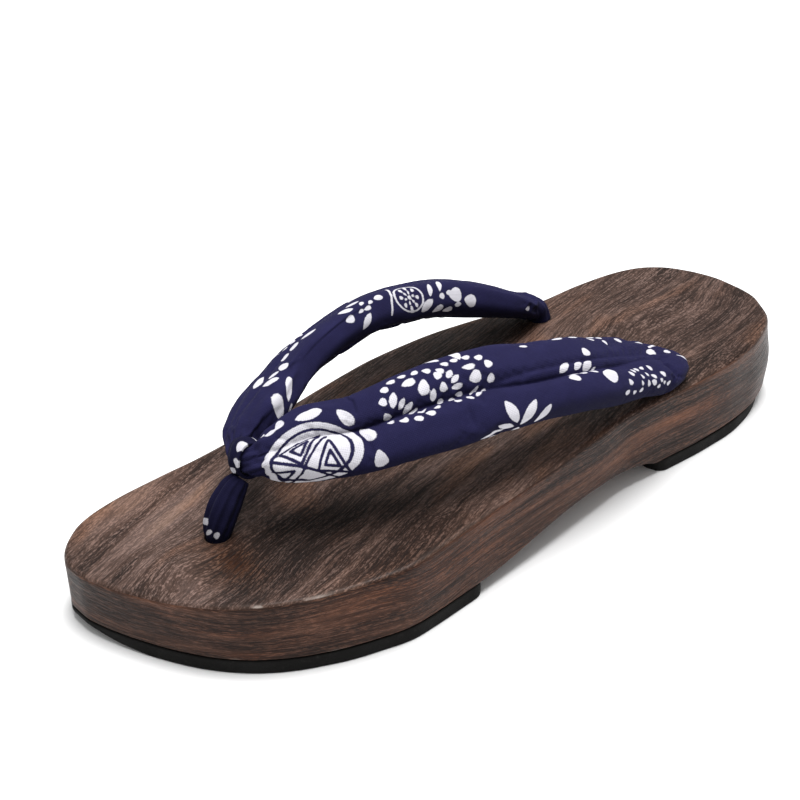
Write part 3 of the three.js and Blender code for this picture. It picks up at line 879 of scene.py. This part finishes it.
# Motifs of the print, in millimetres: place along and round the arm from its seam, length, width
# and turn in degrees. Petals are egg-shaped and leaves are pointed.
CROWN_PETALS = [
    (36.9, -5.2, 6.6, 3.7, 48), (42.2, 3.2, 6.6, 3.7, 60), (43.6, 12.6, 6, 3.6, 92),
    (18, -7.6, 3.8, 2.6, -35), (12, -6.6, 1.8, 1.4, 0),
]
CROWN_LEAVES = [(26.8, -7.6, 7.6, 3.9, -10), (15.2, -6.2, 4.4, 2, -12)]
WHEEL_PETALS = [
    (51.4, -9.9, 2.4, 2.2, 0), (49.6, -6.3, 2.4, 2.4, 0), (49.4, -1.4, 3, 2.4, 80),
    (49.8, 2.2, 2, 1.2, 10), (53.4, 3.4, 2.7, 2.1, 10), (57.4, 4.6, 2.7, 2.2, 20),
    (61.2, 4.2, 2.8, 2, 25), (64, 2.4, 2.1, 1.5, 10), (65.9, -0.2, 2.4, 1.8, -50),
    (67.8, -4.8, 3.2, 2.4, 100), (67.3, -8.8, 2.6, 2.4, 60), (64.9, -11.4, 2.6, 1.8, 30),
    (61.4, -12.3, 2.4, 1.8, -20), (57.5, -12.7, 2.5, 1.6, 10), (54, -12, 2.6, 1.7, 0),
    (62.1, -6.6, 5, 3.2, 108), (58.4, -9.4, 4.2, 2.5, -8),
]
WHEEL_LEAVES = [
    (64.1, -3.3, 4.2, 2, 108), (52.6, -5.8, 5.2, 2.2, 112), (54.5, -3.8, 4.2, 1.6, 126),
    (55.9, -1.8, 5, 1.9, -46), (57.2, 0.3, 4.2, 1.4, -32), (59.4, 1.8, 3.4, 1.1, -12),
]
SHELL_PETALS = [
    (68.6, -10, 2.6, 1.7, 40), (70.9, -11.8, 2.6, 1.5, 25), (74.2, -12.1, 2.5, 1.5, 10),
    (78.1, -11.6, 2.6, 1.6, 20), (81.6, -9.7, 2.5, 1.9, 30), (83.4, -6.6, 2.7, 2.2, 70),
    (83, -2.1, 2.9, 2.1, 100), (79.9, 1.2, 2, 1.2, -40), (77.8, 2.4, 2.1, 1.5, -10),
    (74.6, 2.9, 2.5, 1.7, 20), (70.7, 2.6, 2.4, 1.7, 20), (69.5, 0.4, 2, 1.7, 0),
    (78.3, -4.5, 3.8, 3.7, 0), (77.5, -8.2, 4.1, 1.8, 14), (72, -3.6, 3.6, 1.9, 0),
    (72.2, -0.9, 2.7, 1.5, 12),
]
SHELL_LEAVES = [(77.1, -0.1, 4.6, 1.5, -38), (70.9, -8, 3.2, 1.9, -38), (72.1, -6.1, 3.5, 1.8, -30)]
SPRAY_LEAVES = [
    (84.8, 13.2, 8.8, 3.2, 71), (90.2, 15.4, 9.2, 3.5, -52), (95.8, 17.6, 7.8, 3.2, -52),
    (82.6, 17.4, 6.4, 2.2, 26), (78, 18.8, 8, 2.2, -4), (88, 24.5, 8, 3, 85),
    (80, 23.5, 7, 2.6, 50),
]
SPRIG_PETALS = [
    (119.5, -2.8, 3.3, 3, -30), (124, 8.4, 5.8, 4.9, 20), (110.2, 7.2, 4.3, 3.1, -4),
    (134.4, -6.7, 2.6, 1.9, 20), (144.3, -8.2, 3.3, 1.9, 20), (128.4, -9, 3.2, 1.9, 20),
    (134, -9.4, 2.8, 1.6, 10), (98.5, -10.2, 3, 1.7, 0), (113.4, -11, 4.6, 1.6, 0),
    (120.6, -10.8, 4.4, 1.5, 0), (157.4, -2.3, 5.6, 3, -6), (155, -7, 3.6, 1.6, 10),
]
SPRIG_LEAVES = [
    (108.8, 1.2, 5.6, 2.6, -33), (114.1, 1.5, 4.2, 2.3, -36), (117.8, 2.2, 4.8, 3, -34),
    (111.6, 4.8, 4.8, 1.3, -4), (115.2, 5.4, 2.8, 1.2, 14), (119, 5.6, 3.2, 1.2, 36),
    (120.4, 3.5, 2.6, 0.8, -30), (162.6, -5.6, 5, 1.3, 16), (165.8, -0.9, 3.6, 1.6, 8),
    (170, 3.4, 5, 1.3, 52),
]
DAISY_PETALS = [
    (134.6, 8.6, 2.5, 1.5, 40), (136.9, 7.4, 2.1, 1.3, 50), (139.1, 6.9, 2.3, 1.4, 30),
    (146.4, 6.9, 2.7, 1.4, 40), (151.9, 9.7, 2.7, 1.6, 40), (132.6, 11.6, 2.4, 1.8, 60),
    (131, 15.2, 2.3, 1.9, 0), (135, 15.4, 1.9, 1.4, 30), (138.4, 15, 2.1, 1.4, -30),
    (145.9, 10.4, 3, 1.5, 14), (145.1, 12.6, 3, 1.9, 20), (142.3, 12.8, 2.8, 1.3, 65),
    (149.2, 14.2, 2.2, 1.4, 0), (155.4, 13, 2.3, 1.9, 0), (142.6, 9.4, 1.8, 1.1, 60),
    (142.2, 6.6, 2.1, 1.3, 10), (139.4, 10.2, 1.8, 1.1, 60), (150, 12, 2, 1.3, 20),
    (152.6, 12.8, 1.8, 1.2, 0), (138.6, 12.4, 1.8, 1.1, 70),
]
FAR_PETALS = [
    (36.8, -8.9, 4.4, 3.6, 10), (22.1, -15.2, 8.8, 3.6, 66), (48.4, -6.4, 4.4, 3.2, 20),
    (43.2, -5.8, 4.2, 3.2, 20), (67.2, -17.6, 3.7, 3.5, 0), (75, -14.2, 2.3, 1.4, 30),
    (72.9, -17.4, 2.5, 1.8, 20), (75.9, -17.6, 3, 2.1, 10), (78.1, -15.4, 2.3, 1.5, 30),
    (81.9, -14.4, 3.4, 2.6, 0), (109.5, -17.5, 2.4, 2.1, 0), (112.9, -16.6, 2.4, 1.8, 0),
    (115.9, -17.4, 5.8, 5.2, 0), (122.9, -19, 5.4, 4.6, 0), (107.6, -22.6, 5, 3, 20),
    (112.8, -23.6, 4.6, 2.6, 10), (151, -15, 3.2, 1.4, 30),
]
FAR_LEAVES = [
    (32.9, -6.7, 4.6, 2.2, -46), (29.2, -7.3, 6, 3, -56), (28.9, -14.6, 8.2, 3.2, 34),
    (24.6, -19.8, 4.6, 1.5, 45), (33.5, 3, 7, 2.2, 0), (54.6, -8.4, 6, 2.4, -22),
    (68.6, -13, 5.6, 2.5, -27), (73.2, -21.8, 7.2, 2.7, 35), (73.4, -11.6, 5.6, 1.8, -10),
    (104.9, -14.8, 5.2, 2.1, 71), (109.9, -13.2, 5.6, 2, 71), (102.2, -20.2, 7, 3.4, 35),
    (117.2, -21.2, 3.4, 1.8, 10),
]


def charted(shape, rows, s=0.0, w=0.0):
    """The motifs in the rows, moved that far along and round the arm."""
    return [(shape, row[0] + s, row[1] + w, *row[2:]) for row in rows]


def wheel(at_s, at_w, radius, count):
    """A ring of small petals round a flower."""
    rows = [(at_s, at_w, 1.6, 1.4, 0)]
    for k in range(count):
        turn = 2 * math.pi * k / count
        rows.append((at_s + radius * math.cos(turn), at_w + radius * math.sin(turn), 1.7, 1.3,
                     math.degrees(turn)))
    for k in range(6):
        turn = 2 * math.pi * (k + 0.3) / 6
        rows.append((at_s + 0.5 * radius * math.cos(turn), at_w + 0.5 * radius * math.sin(turn),
                     0.42 * radius, 0.22 * radius, math.degrees(turn)))
    return charted(petal, rows)


OUTER_PRINT = [
    (medallion, 25.2, 6.4),
    *charted(petal, CROWN_PETALS), *charted(lens, CROWN_LEAVES),
    *charted(petal, WHEEL_PETALS), *charted(lens, WHEEL_LEAVES),
    *charted(petal, SHELL_PETALS), *charted(lens, SHELL_LEAVES), *charted(lens, SPRAY_LEAVES),
    *charted(petal, SPRIG_PETALS), *charted(lens, SPRIG_LEAVES), *charted(petal, DAISY_PETALS),
    *wheel(44, -22, 6, 13), *wheel(62, 30, 6.5, 14),
    *wheel(104, -24, 6, 12), *wheel(122, 31, 5.5, 12),
    *charted(lens, SPRAY_LEAVES, -12, -40), *charted(lens, SPRIG_LEAVES, 14, 28),
    *charted(petal, WHEEL_PETALS, 74, -16), *charted(lens, WHEEL_LEAVES, 74, -16),
]
INNER_PRINT = [
    *charted(petal, FAR_PETALS), *charted(lens, FAR_LEAVES),
    (stroke, (88.8, -10), (84.6, -22.4), 0.8), (oval_ring, 94.4, -16.8, 12.6, 9.8, 0.7),
    *wheel(94.4, -16.8, 3.6, 8), (medallion, 26, 24),
    *charted(petal, WHEEL_PETALS, -2, 17), *charted(lens, WHEEL_LEAVES, -2, 17),
    *charted(petal, SHELL_PETALS, 14, 14), *charted(lens, SHELL_LEAVES, 14, 14),
    *charted(petal, SPRIG_PETALS[:3], 0, 6), *charted(lens, SPRIG_LEAVES[:7], 0, 6),
    *charted(petal, DAISY_PETALS, 4, 0), *charted(lens, SPRAY_LEAVES, -38, 10),
    *charted(lens, SPRAY_LEAVES, 16, 8),
]
STEM_PRINT = charted(petal, [
    (24.8, 13.4, 4.6, 1.8, 70), (22.6, -12.4, 2, 1.5, 20), (22.2, -9.6, 2.2, 1.6, -30),
    (30, 3, 5, 2.4, 30), (25, -2, 3.4, 2.4, -40),
])
LOOP_PRINT = charted(petal, [
    (6.9, 1.9, 4.4, 3.2, 12), (1.4, 2.3, 3, 2.2, -30), (14.5, -0.6, 4.6, 2.4, 24),
    (21, 1.6, 3.4, 2, 0), (29, -1.2, 4, 2.2, 40), (35.4, 0.4, 3, 2, 10),
])


FAR_FROM_PRINT = 9.0


def print_distance(s, w, motifs):
    found = np.full(s.shape, FAR_FROM_PRINT)
    for shape, *numbers in motifs:
        found = np.minimum(found, shape(s, w, *numbers))
    return found


def print_round(s, w, girth, motifs):
    """The print's distance on a closed tube, where motifs run on past its far side."""
    beyond = print_distance(s, w - np.sign(w) * girth, motifs)
    return np.minimum(print_distance(s, w, motifs), beyond)


INDIGO_DARK = rgb(0.0105, 0.0095, 0.036)
INDIGO_PALE = rgb(0.0185, 0.0175, 0.060)
INDIGO_FUZZ = rgb(0.038, 0.036, 0.095)
# painted shade for the cotton's underside
UNDERSIDE_SHADE = rgb(0.46, 0.45, 0.48)
WHITE_DARK = rgb(0.50, 0.49, 0.54)
WHITE_PALE = rgb(0.60, 0.59, 0.63)
COTTON_RELIEF = 0.00012  # metres


def cotton_material(name, dip):
    """Indigo cotton with a white resist print, its dye thinned or deepened by dip, a deep dip
    standing for painted shade; its dye is darker on the underside as painted shade.
    The print's distance is in the mesh."""
    s = Shader(name)
    place = s.add("TexCoord").outputs["Object"]
    threads = s.add("UVMap", uv_map="weave").outputs[0]
    distance = s.attribute("print").outputs["Fac"]
    yarn = {"Vector": threads, "Scale": 0.62, "Distortion": 0.35, "Detail": 1.0}
    across, along = (s.add("TexWave", yarn, wave_type="BANDS", bands_direction=way).outputs["Fac"]
                     for way in ("X", "Y"))
    weave = s.math("MAXIMUM", across, along)
    mottle = s.noise(place, 3, 0.6, scale=160.0)
    fuzz = s.noise(place, 3, 0.7, scale=1500.0)
    wavy = s.plus(distance, s.ramp(fuzz, 0.2, 0.8, -0.1, 0.1))
    white = s.ramp(wavy, 0.14, -0.14)
    dye = s.mix(mottle, INDIGO_DARK, INDIGO_PALE)
    dye = s.mix(s.times(s.ramp(fuzz, 0.55, 0.75), 0.25), dye, INDIGO_FUZZ)
    dye = s.tinted(dye, rgb(dip, dip, dip))
    # painted shade: the dye darker where the cloth faces down
    dye = s.tinted(dye, UNDERSIDE_SHADE, s.attribute("underside_shade").outputs["Fac"])
    colour = s.mix(white, dye, s.mix(mottle, WHITE_DARK, WHITE_PALE))
    colour = s.shaded(colour, s.ramp(weave, 0.2, 0.9, 0.86, 1.08))
    rough = s.ramp(mottle, 0.3, 0.7, 0.86, 0.95)
    relief = s.plus(s.times(weave, 0.7), s.times(fuzz, 0.5))
    return s.finish(colour, rough, relief, COTTON_RELIEF, Sheen_Weight=0.01,
                    Sheen_Roughness=0.45, Specular_IOR_Level=0.06)


def cloth_piece(name, grid, s, w, distance, material, closed_rows=False):
    """A sewn piece from rows of points round it, with its print, its weave, and painted shade where
    it faces down.
    """
    rows, columns = grid.shape[:2]
    faces = tube_faces(rows, columns, closed_rows)
    points = grid.reshape(-1, 3)
    sample = np.array(faces[: rows * columns // 2])
    a, b, _, d = (points[sample[:, k]] for k in range(4))
    centre = np.repeat(grid.mean(axis=1), columns, axis=0)[sample[:, 0]]
    if np.sum(np.cross(b - a, d - a) * (a - centre)) < 0:
        faces = [f[::-1] for f in faces]
    # how far each point faces down, for the painted shade on the underside
    underside_shade = smooth_step(-outward_normals(grid, closed_rows)[..., 2], -0.45, 0.5)
    piece = mesh_object(name, points, faces, {"print": distance.ravel(), "underside_shade": underside_shade.ravel()})
    layer = piece.data.uv_layers.new(name="weave")
    corners = np.empty(len(piece.data.loops), int)
    piece.data.loops.foreach_get("vertex_index", corners)
    places = np.column_stack([s.ravel()[corners], w.ravel()[corners]])
    layer.data.foreach_set("uv", places.astype(np.float32).ravel())
    piece.data.materials.append(material)
    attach(piece, "root")
    return piece


# ---------------- the strap
def arm_frames(side, count):
    """Centres, directions and sizes of an arm's sections, evenly spaced along it."""
    x = ARM[:, 0] - side * ARM[:, 7]
    nodes = np.column_stack([x, middle_line(x) + side * ARM[:, 1], ARM[:, 2]])
    s, shares, centre, along = evenly_along(nodes, count)
    width, thickness, tilt, groove = (column(ARM, k, shares) for k in (3, 4, 5, 6))
    lean = np.radians(tilt)
    across = np.column_stack([0 * lean, side * np.cos(lean), -np.sin(lean)])
    across = unit(across - along * (across * along).sum(1, keepdims=True))
    up = side * np.cross(across, along)
    return s, centre, across, up, width, thickness, groove


def fuller(value, exponent):
    return np.sign(value) * np.abs(value) ** exponent


def seam_at(s):
    """How far the sewn groove wanders from the middle of the arm's top, in millimetres."""
    return 3.2 * smooth_step(s, 72, 100) - 1.2 * smooth_step(s, 130, 155)


SECTION_STEPS = 721


def arm_grid(side, stations, sides):
    """Rows of points round an arm, the first of each row on top, in its groove.
    Returns the points, and their places along the arm and round it from the groove."""
    s, centre, across, up, width, thickness, groove = arm_frames(side, stations)
    angle = np.pi / 2 - np.linspace(0, 2 * np.pi, SECTION_STEPS)
    grid = np.empty((stations, sides, 3))
    w = np.empty((stations, sides))
    for i in range(stations):
        share = smooth_step(width[i] / thickness[i], 1, FULL_ASPECT)
        exponent = 1 + (FULLNESS - 1) * share
        place = fuller(np.cos(angle), exponent)
        aside = place - 2 * seam_at(s[i]) / width[i]
        dip = 1 - groove[i] * (0.95 * bell(aside, 0.18) + 0.5 * bell(aside, 0.045))
        outwards = width[i] / 2 * place
        proud = thickness[i] / 2 * fuller(np.sin(angle), exponent) * dip
        run = np.concatenate([[0], np.cumsum(np.hypot(np.diff(outwards), np.diff(proud)))])
        at = np.arange(sides) / sides * run[-1]
        ring = np.interp(at, run, outwards)[:, None] * across[i]
        ring = ring + np.interp(at, run, proud)[:, None] * up[i]
        grid[i] = centre[i] + ring
        w[i] = np.where(at > run[-1] / 2, at - run[-1], at)
    return grid, np.repeat(s[:, None], sides, 1), w


CLOTH_SCALE = 10  # the cloth is simulated larger than life, where the solver works well
CLOTH_CAP = 0.9  # how far, in millimetres, the simulation may move the cloth
CLOTH_FRAMES = 20
CLOTH_SETTINGS = {
    "quality": 6, "mass": 0.3, "tension_stiffness": 20, "compression_stiffness": 14,
    "shear_stiffness": 8, "bending_stiffness": 0.4, "use_pressure": True,
    "uniform_pressure_force": 4, "shrink_min": -0.018, "vertex_group_mass": "pins",
}
PINNED_FRONT_ROWS = 6
PINNED_REAR_ROWS = 28


def puff(grid):
    """Cloth simulation: the cover swells between its seams. Returns each point's move."""
    rows, columns = grid.shape[:2]
    faces = grid_faces(rows, columns)
    cover = mesh_object("cover", grid.reshape(-1, 3) * CLOTH_SCALE, faces)
    pins = cover.vertex_groups.new(name="pins")
    fixed = np.zeros((rows, columns), bool)
    fixed[:PINNED_FRONT_ROWS] = True
    fixed[-PINNED_REAR_ROWS:] = True
    fixed[:, 0] = True
    fixed[:, columns // 2] = True
    pins.add(np.flatnonzero(fixed).tolist(), 1.0, "REPLACE")
    cloth = cover.modifiers.new("cloth", "CLOTH")
    for key, value in CLOTH_SETTINGS.items():
        setattr(cloth.settings, key, value)
    cloth.settings.effector_weights.gravity = 0
    cloth.collision_settings.use_collision = False
    cloth.collision_settings.use_self_collision = False
    scene = bpy.context.scene
    cloth.point_cache.frame_start = 1
    cloth.point_cache.frame_end = CLOTH_FRAMES
    for number in range(1, CLOTH_FRAMES + 1):
        scene.frame_set(number)
    graph = bpy.context.evaluated_depsgraph_get()
    settled = cover.evaluated_get(graph).to_mesh()
    found = np.empty(rows * columns * 3, np.float32)
    settled.vertices.foreach_get("co", found)
    scene.frame_set(1)
    bpy.data.objects.remove(cover)
    moved = found.reshape(rows, columns, 3) / (MM * CLOTH_SCALE) - grid
    length = np.linalg.norm(moved, axis=-1, keepdims=True)
    return moved * np.minimum(1, CLOTH_CAP / np.maximum(length, 1e-6))


# Soft creases pressed into an arm: start s and w, end s and w, width, depth.
OUTER_CREASES = [
    (14, -6, 26, -10, 1.6, 0.5), (16, 3, 30, 8, 1.8, 0.45), (22, -11, 33, -12, 1.5, 0.4),
    (10, 6, 20, 13, 1.5, 0.5), (128, 4, 150, 9, 2.2, 0.5), (136, -5, 153, -9, 2.0, 0.5),
    (60, 9, 74, 11, 2.2, 0.25), (88, -9, 104, -10, 2.4, 0.3), (112, 8, 124, 10, 2.2, 0.3),
]
INNER_CREASES = [
    (12, -5, 26, -8, 1.6, 0.5), (14, 4, 34, 7, 1.8, 0.6), (24, -10, 36, -12, 1.5, 0.4),
    (8, 7, 20, 12, 1.5, 0.5), (126, 5, 150, 9, 2.2, 0.5), (134, -4, 153, -9, 2.0, 0.5),
    (52, 6, 70, 10, 2.4, 0.35), (84, -8, 98, -9, 2.2, 0.3), (106, 7, 122, 10, 2.4, 0.3),
]
STITCH_PITCH = 3.2
STITCH_FADE = 2.2  # how far from the groove the tucks reach
STITCH_EDGE = 0.8  # where they begin beside it
CREASE_RIDGE = 0.35  # height of the ridge beside a crease, as a share of the crease's depth
RIDGE_AWAY = 1.8  # widths from the crease to its ridge
GATHER_WAVE = 7
GATHER_FADE = 9
GATHER_START = 6
FRONT_GATHER = 0.22
REAR_GATHER = 0.1


def strap_relief(s, w, length, creases, groove, seed):
    """How far the cover stands proud of the simulated shape, in millimetres."""
    proud = np.zeros(s.shape)
    for s0, w0, s1, w1, width, depth in creases:
        trough = stroke(s, w, (s0, w0), (s1, w1), 0)
        proud -= depth * bell(trough, width)
        proud += CREASE_RIDGE * depth * bell(trough - RIDGE_AWAY * width, width)
    tuck = np.cos(2 * math.pi * s / STITCH_PITCH)
    aside = np.abs(w - seam_at(s))
    beside = np.exp(-aside / STITCH_FADE) * np.minimum(1, aside / STITCH_EDGE)
    proud += groove * 0.5 * tuck * beside
    turn = 2 * math.pi * w / GATHER_WAVE
    gathers = np.sin(turn * 1.7 + seed) + 0.6 * np.sin(turn * 2.9 + 2 * seed)
    proud += FRONT_GATHER * gathers * np.exp(-np.maximum(s - GATHER_START, 0) / GATHER_FADE)
    gathers = np.sin(turn * 1.6 + 3 * seed) + 0.5 * np.sin(turn * 3.1)
    proud += REAR_GATHER * gathers * np.exp(-np.maximum(length - s, 0) / GATHER_FADE)
    return proud


HIDDEN_REAR = 32  # about the length of the arm's end that is inside its hole
UNEVEN = 0.12


def make_arm(name, side, motifs, creases, seed, material):
    coarse, _, _ = arm_grid(side, CLOTH_STATIONS, CLOTH_SIDES)
    moved = puff(coarse)
    fine, s, w = arm_grid(side, ARM_STATIONS, ARM_SIDES)
    moved = finer(finer(moved, ARM_STATIONS, 0, False), ARM_SIDES, 1, True)
    fine = fine + moved
    groove = column(ARM, 6, np.linspace(0, 1, ARM_STATIONS))
    relief = strap_relief(s, w, s.max() - HIDDEN_REAR, creases, groove[:, None], seed)
    fine = fine + outward_normals(fine) * relief[..., None]
    fine = fine + outward_normals(fine) * (UNEVEN * lumps(fine, 9, seed))[..., None]
    perimeter = 2 * np.abs(w).max(axis=1, keepdims=True)
    arm = cloth_piece(name, fine, s, w, print_round(s, w, perimeter, motifs), material)
    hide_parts("upper")


# ---------------- the toe thong
PLEAT_START = (24, 30)  # the heights between which the stem's pleats begin
PLEAT_DEPTH = 0.18
STEM_SPREAD = (39, 43)  # the heights between which its top spreads under the loop


def make_stem(material):
    y = np.full(len(THONG), FRONT_HOLE[1])
    nodes = np.column_stack([THONG[:, 0], y, THONG[:, 1]])
    s, shares, centre, ahead = evenly_along(nodes, THONG_STATIONS)
    width, length = (column(THONG, k, shares) for k in (2, 3))
    forward = np.cross(np.array([0, 1, 0]), ahead)
    angle = 2 * math.pi * np.arange(THONG_SIDES) / THONG_SIDES
    above = smooth_step(centre[:, 2], *PLEAT_START)[:, None]
    sway = angle[None, :] + 0.25 * np.sin(s / 7)[:, None]
    pleats = 0.55 * np.abs(np.sin(3.5 * sway + 0.6)) + 0.25 * np.sin(11 * sway + 1)
    grow = 1 + above * PLEAT_DEPTH * (pleats - 0.5)
    top = smooth_step(centre[:, 2], *STEM_SPREAD)[:, None]
    out = grow * (1 + 0.12 * top)
    width, length = width[:, None], length[:, None]
    grid = centre[:, None] + forward[:, None] * (length / 2 * np.cos(angle) * out)[..., None]
    grid[..., 1] += width / 2 * np.sin(angle) * out
    w = (angle - math.pi) * width / 2
    s = np.repeat(s[:, None], THONG_SIDES, 1)
    distance = print_round(s, w, math.pi * width, STEM_PRINT)
    stem = cloth_piece("toe_thong_stem", grid, s, w, distance, material)
    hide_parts("toe_thong")


LOOP_FOLD = 0.28
LOOP_RIPPLE = 0.35
LOOP_RADIUS = 6  # about, for the print's places round the loop


def make_loop(material):
    turn = 2 * math.pi * np.arange(LOOP_STEPS) / LOOP_STEPS
    angle = 2 * math.pi * np.arange(LOOP_SIDES) / LOOP_SIDES
    across = fuller(np.sin(angle), FULLNESS)
    fold = LOOP_FOLD * np.cos(across * 5.2 + 0.8) * (np.cos(angle) > 0)
    out = SEAM + LOOP_THICKNESS / 2 * (1 + np.cos(angle)) + fold
    shape = np.empty((LOOP_STEPS, LOOP_SIDES, 3))
    ripple = LOOP_RIPPLE * np.sin(3 * turn + 1)[:, None]
    shape[..., 0] = CROSSING["x"] + (CROSSING["half_x"] + out) * np.cos(turn)[:, None]
    shape[..., 1] = middle_line(CROSSING["x"]) + LOOP_WIDTH / 2 * across[None, :] + ripple
    shape[..., 2] = CROSSING["z"] + (CROSSING["half_z"] + out) * np.sin(turn)[:, None]
    s = np.repeat((turn * LOOP_RADIUS)[:, None], LOOP_SIDES, 1)
    w = np.repeat((LOOP_WIDTH / 2 * across)[None, :], LOOP_STEPS, 0)
    distance = print_distance(s, w, LOOP_PRINT)
    loop = cloth_piece("toe_thong_loop", shape, s, w, distance, material, closed_rows=True)
    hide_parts("toe_thong")


# ---------------- studio
FLOOR_REACH = 3000
FLOOR_HEIGHT = -0.05  # just below the pads, so that the two faces never coincide
FLOOR_COLOUR = rgb(0.93, 0.93, 0.93)
WORLD_STRENGTH = 0.52
KEY_PLACE = Vector((-0.08, 0.0, 1.0))  # metres
KEY_SIZE = 0.6
KEY_WATTS = 16.2


def make_key_light():
    """One broad soft light above the shoe, a little to the heel's side."""
    data = bpy.data.lights.new("key", "AREA")
    data.shape = "RECTANGLE"
    data.size = data.size_y = KEY_SIZE
    data.energy = KEY_WATTS
    light = placed("key", data)
    light.location = KEY_PLACE
    light.rotation_euler = KEY_PLACE.to_track_quat("Z", "Y").to_euler()


def make_studio():
    corners = [(x, y, FLOOR_HEIGHT) for x, y in (
        (-FLOOR_REACH, -FLOOR_REACH), (FLOOR_REACH, -FLOOR_REACH),
        (FLOOR_REACH, FLOOR_REACH), (-FLOOR_REACH, FLOOR_REACH))]
    floor = mesh_object("floor", corners, [(0, 1, 2, 3)])
    s = Shader("paper")
    s.surface.inputs["Base Color"].default_value = FLOOR_COLOUR
    s.surface.inputs["Roughness"].default_value = 0.9
    floor.data.materials.append(s.material)
    world = bpy.data.worlds.new("studio")
    bpy.context.scene.world = world
    world.use_nodes = True
    background = world.node_tree.nodes["Background"]
    background.inputs["Color"].default_value = rgb(1, 1, 1)
    background.inputs["Strength"].default_value = WORLD_STRENGTH
    make_key_light()
    bpy.context.scene.view_settings.view_transform = "Standard"


make_camera()
make_studio()
make_board()
rubber = rubber_material()
make_pad("front_sole", "front_outsole", FRONT_PAD_END, HALF_LENGTH, FRONT_PAD_END, tread_height,
         rubber)
make_pad("heel_sole", "heel_outsole", -HALF_LENGTH, HEEL_PAD_END, HEEL_PAD_END, on_the_ground,
         rubber)
cotton = cotton_material("indigo_cotton", 0.93)
# the thong's cotton is the same cotton with its dye deepened: painted shade, for the strap's shadow
# over the stem and loop
shaded_thong_cotton = cotton_material("indigo_cotton_thong_shaded", 0.5)
make_arm("strap_outer", 1, OUTER_PRINT, OUTER_CREASES, 3, cotton)
make_arm("strap_inner", -1, INNER_PRINT, INNER_CREASES, 4, cotton)
make_stem(shaded_thong_cotton)
make_loop(shaded_thong_cotton)
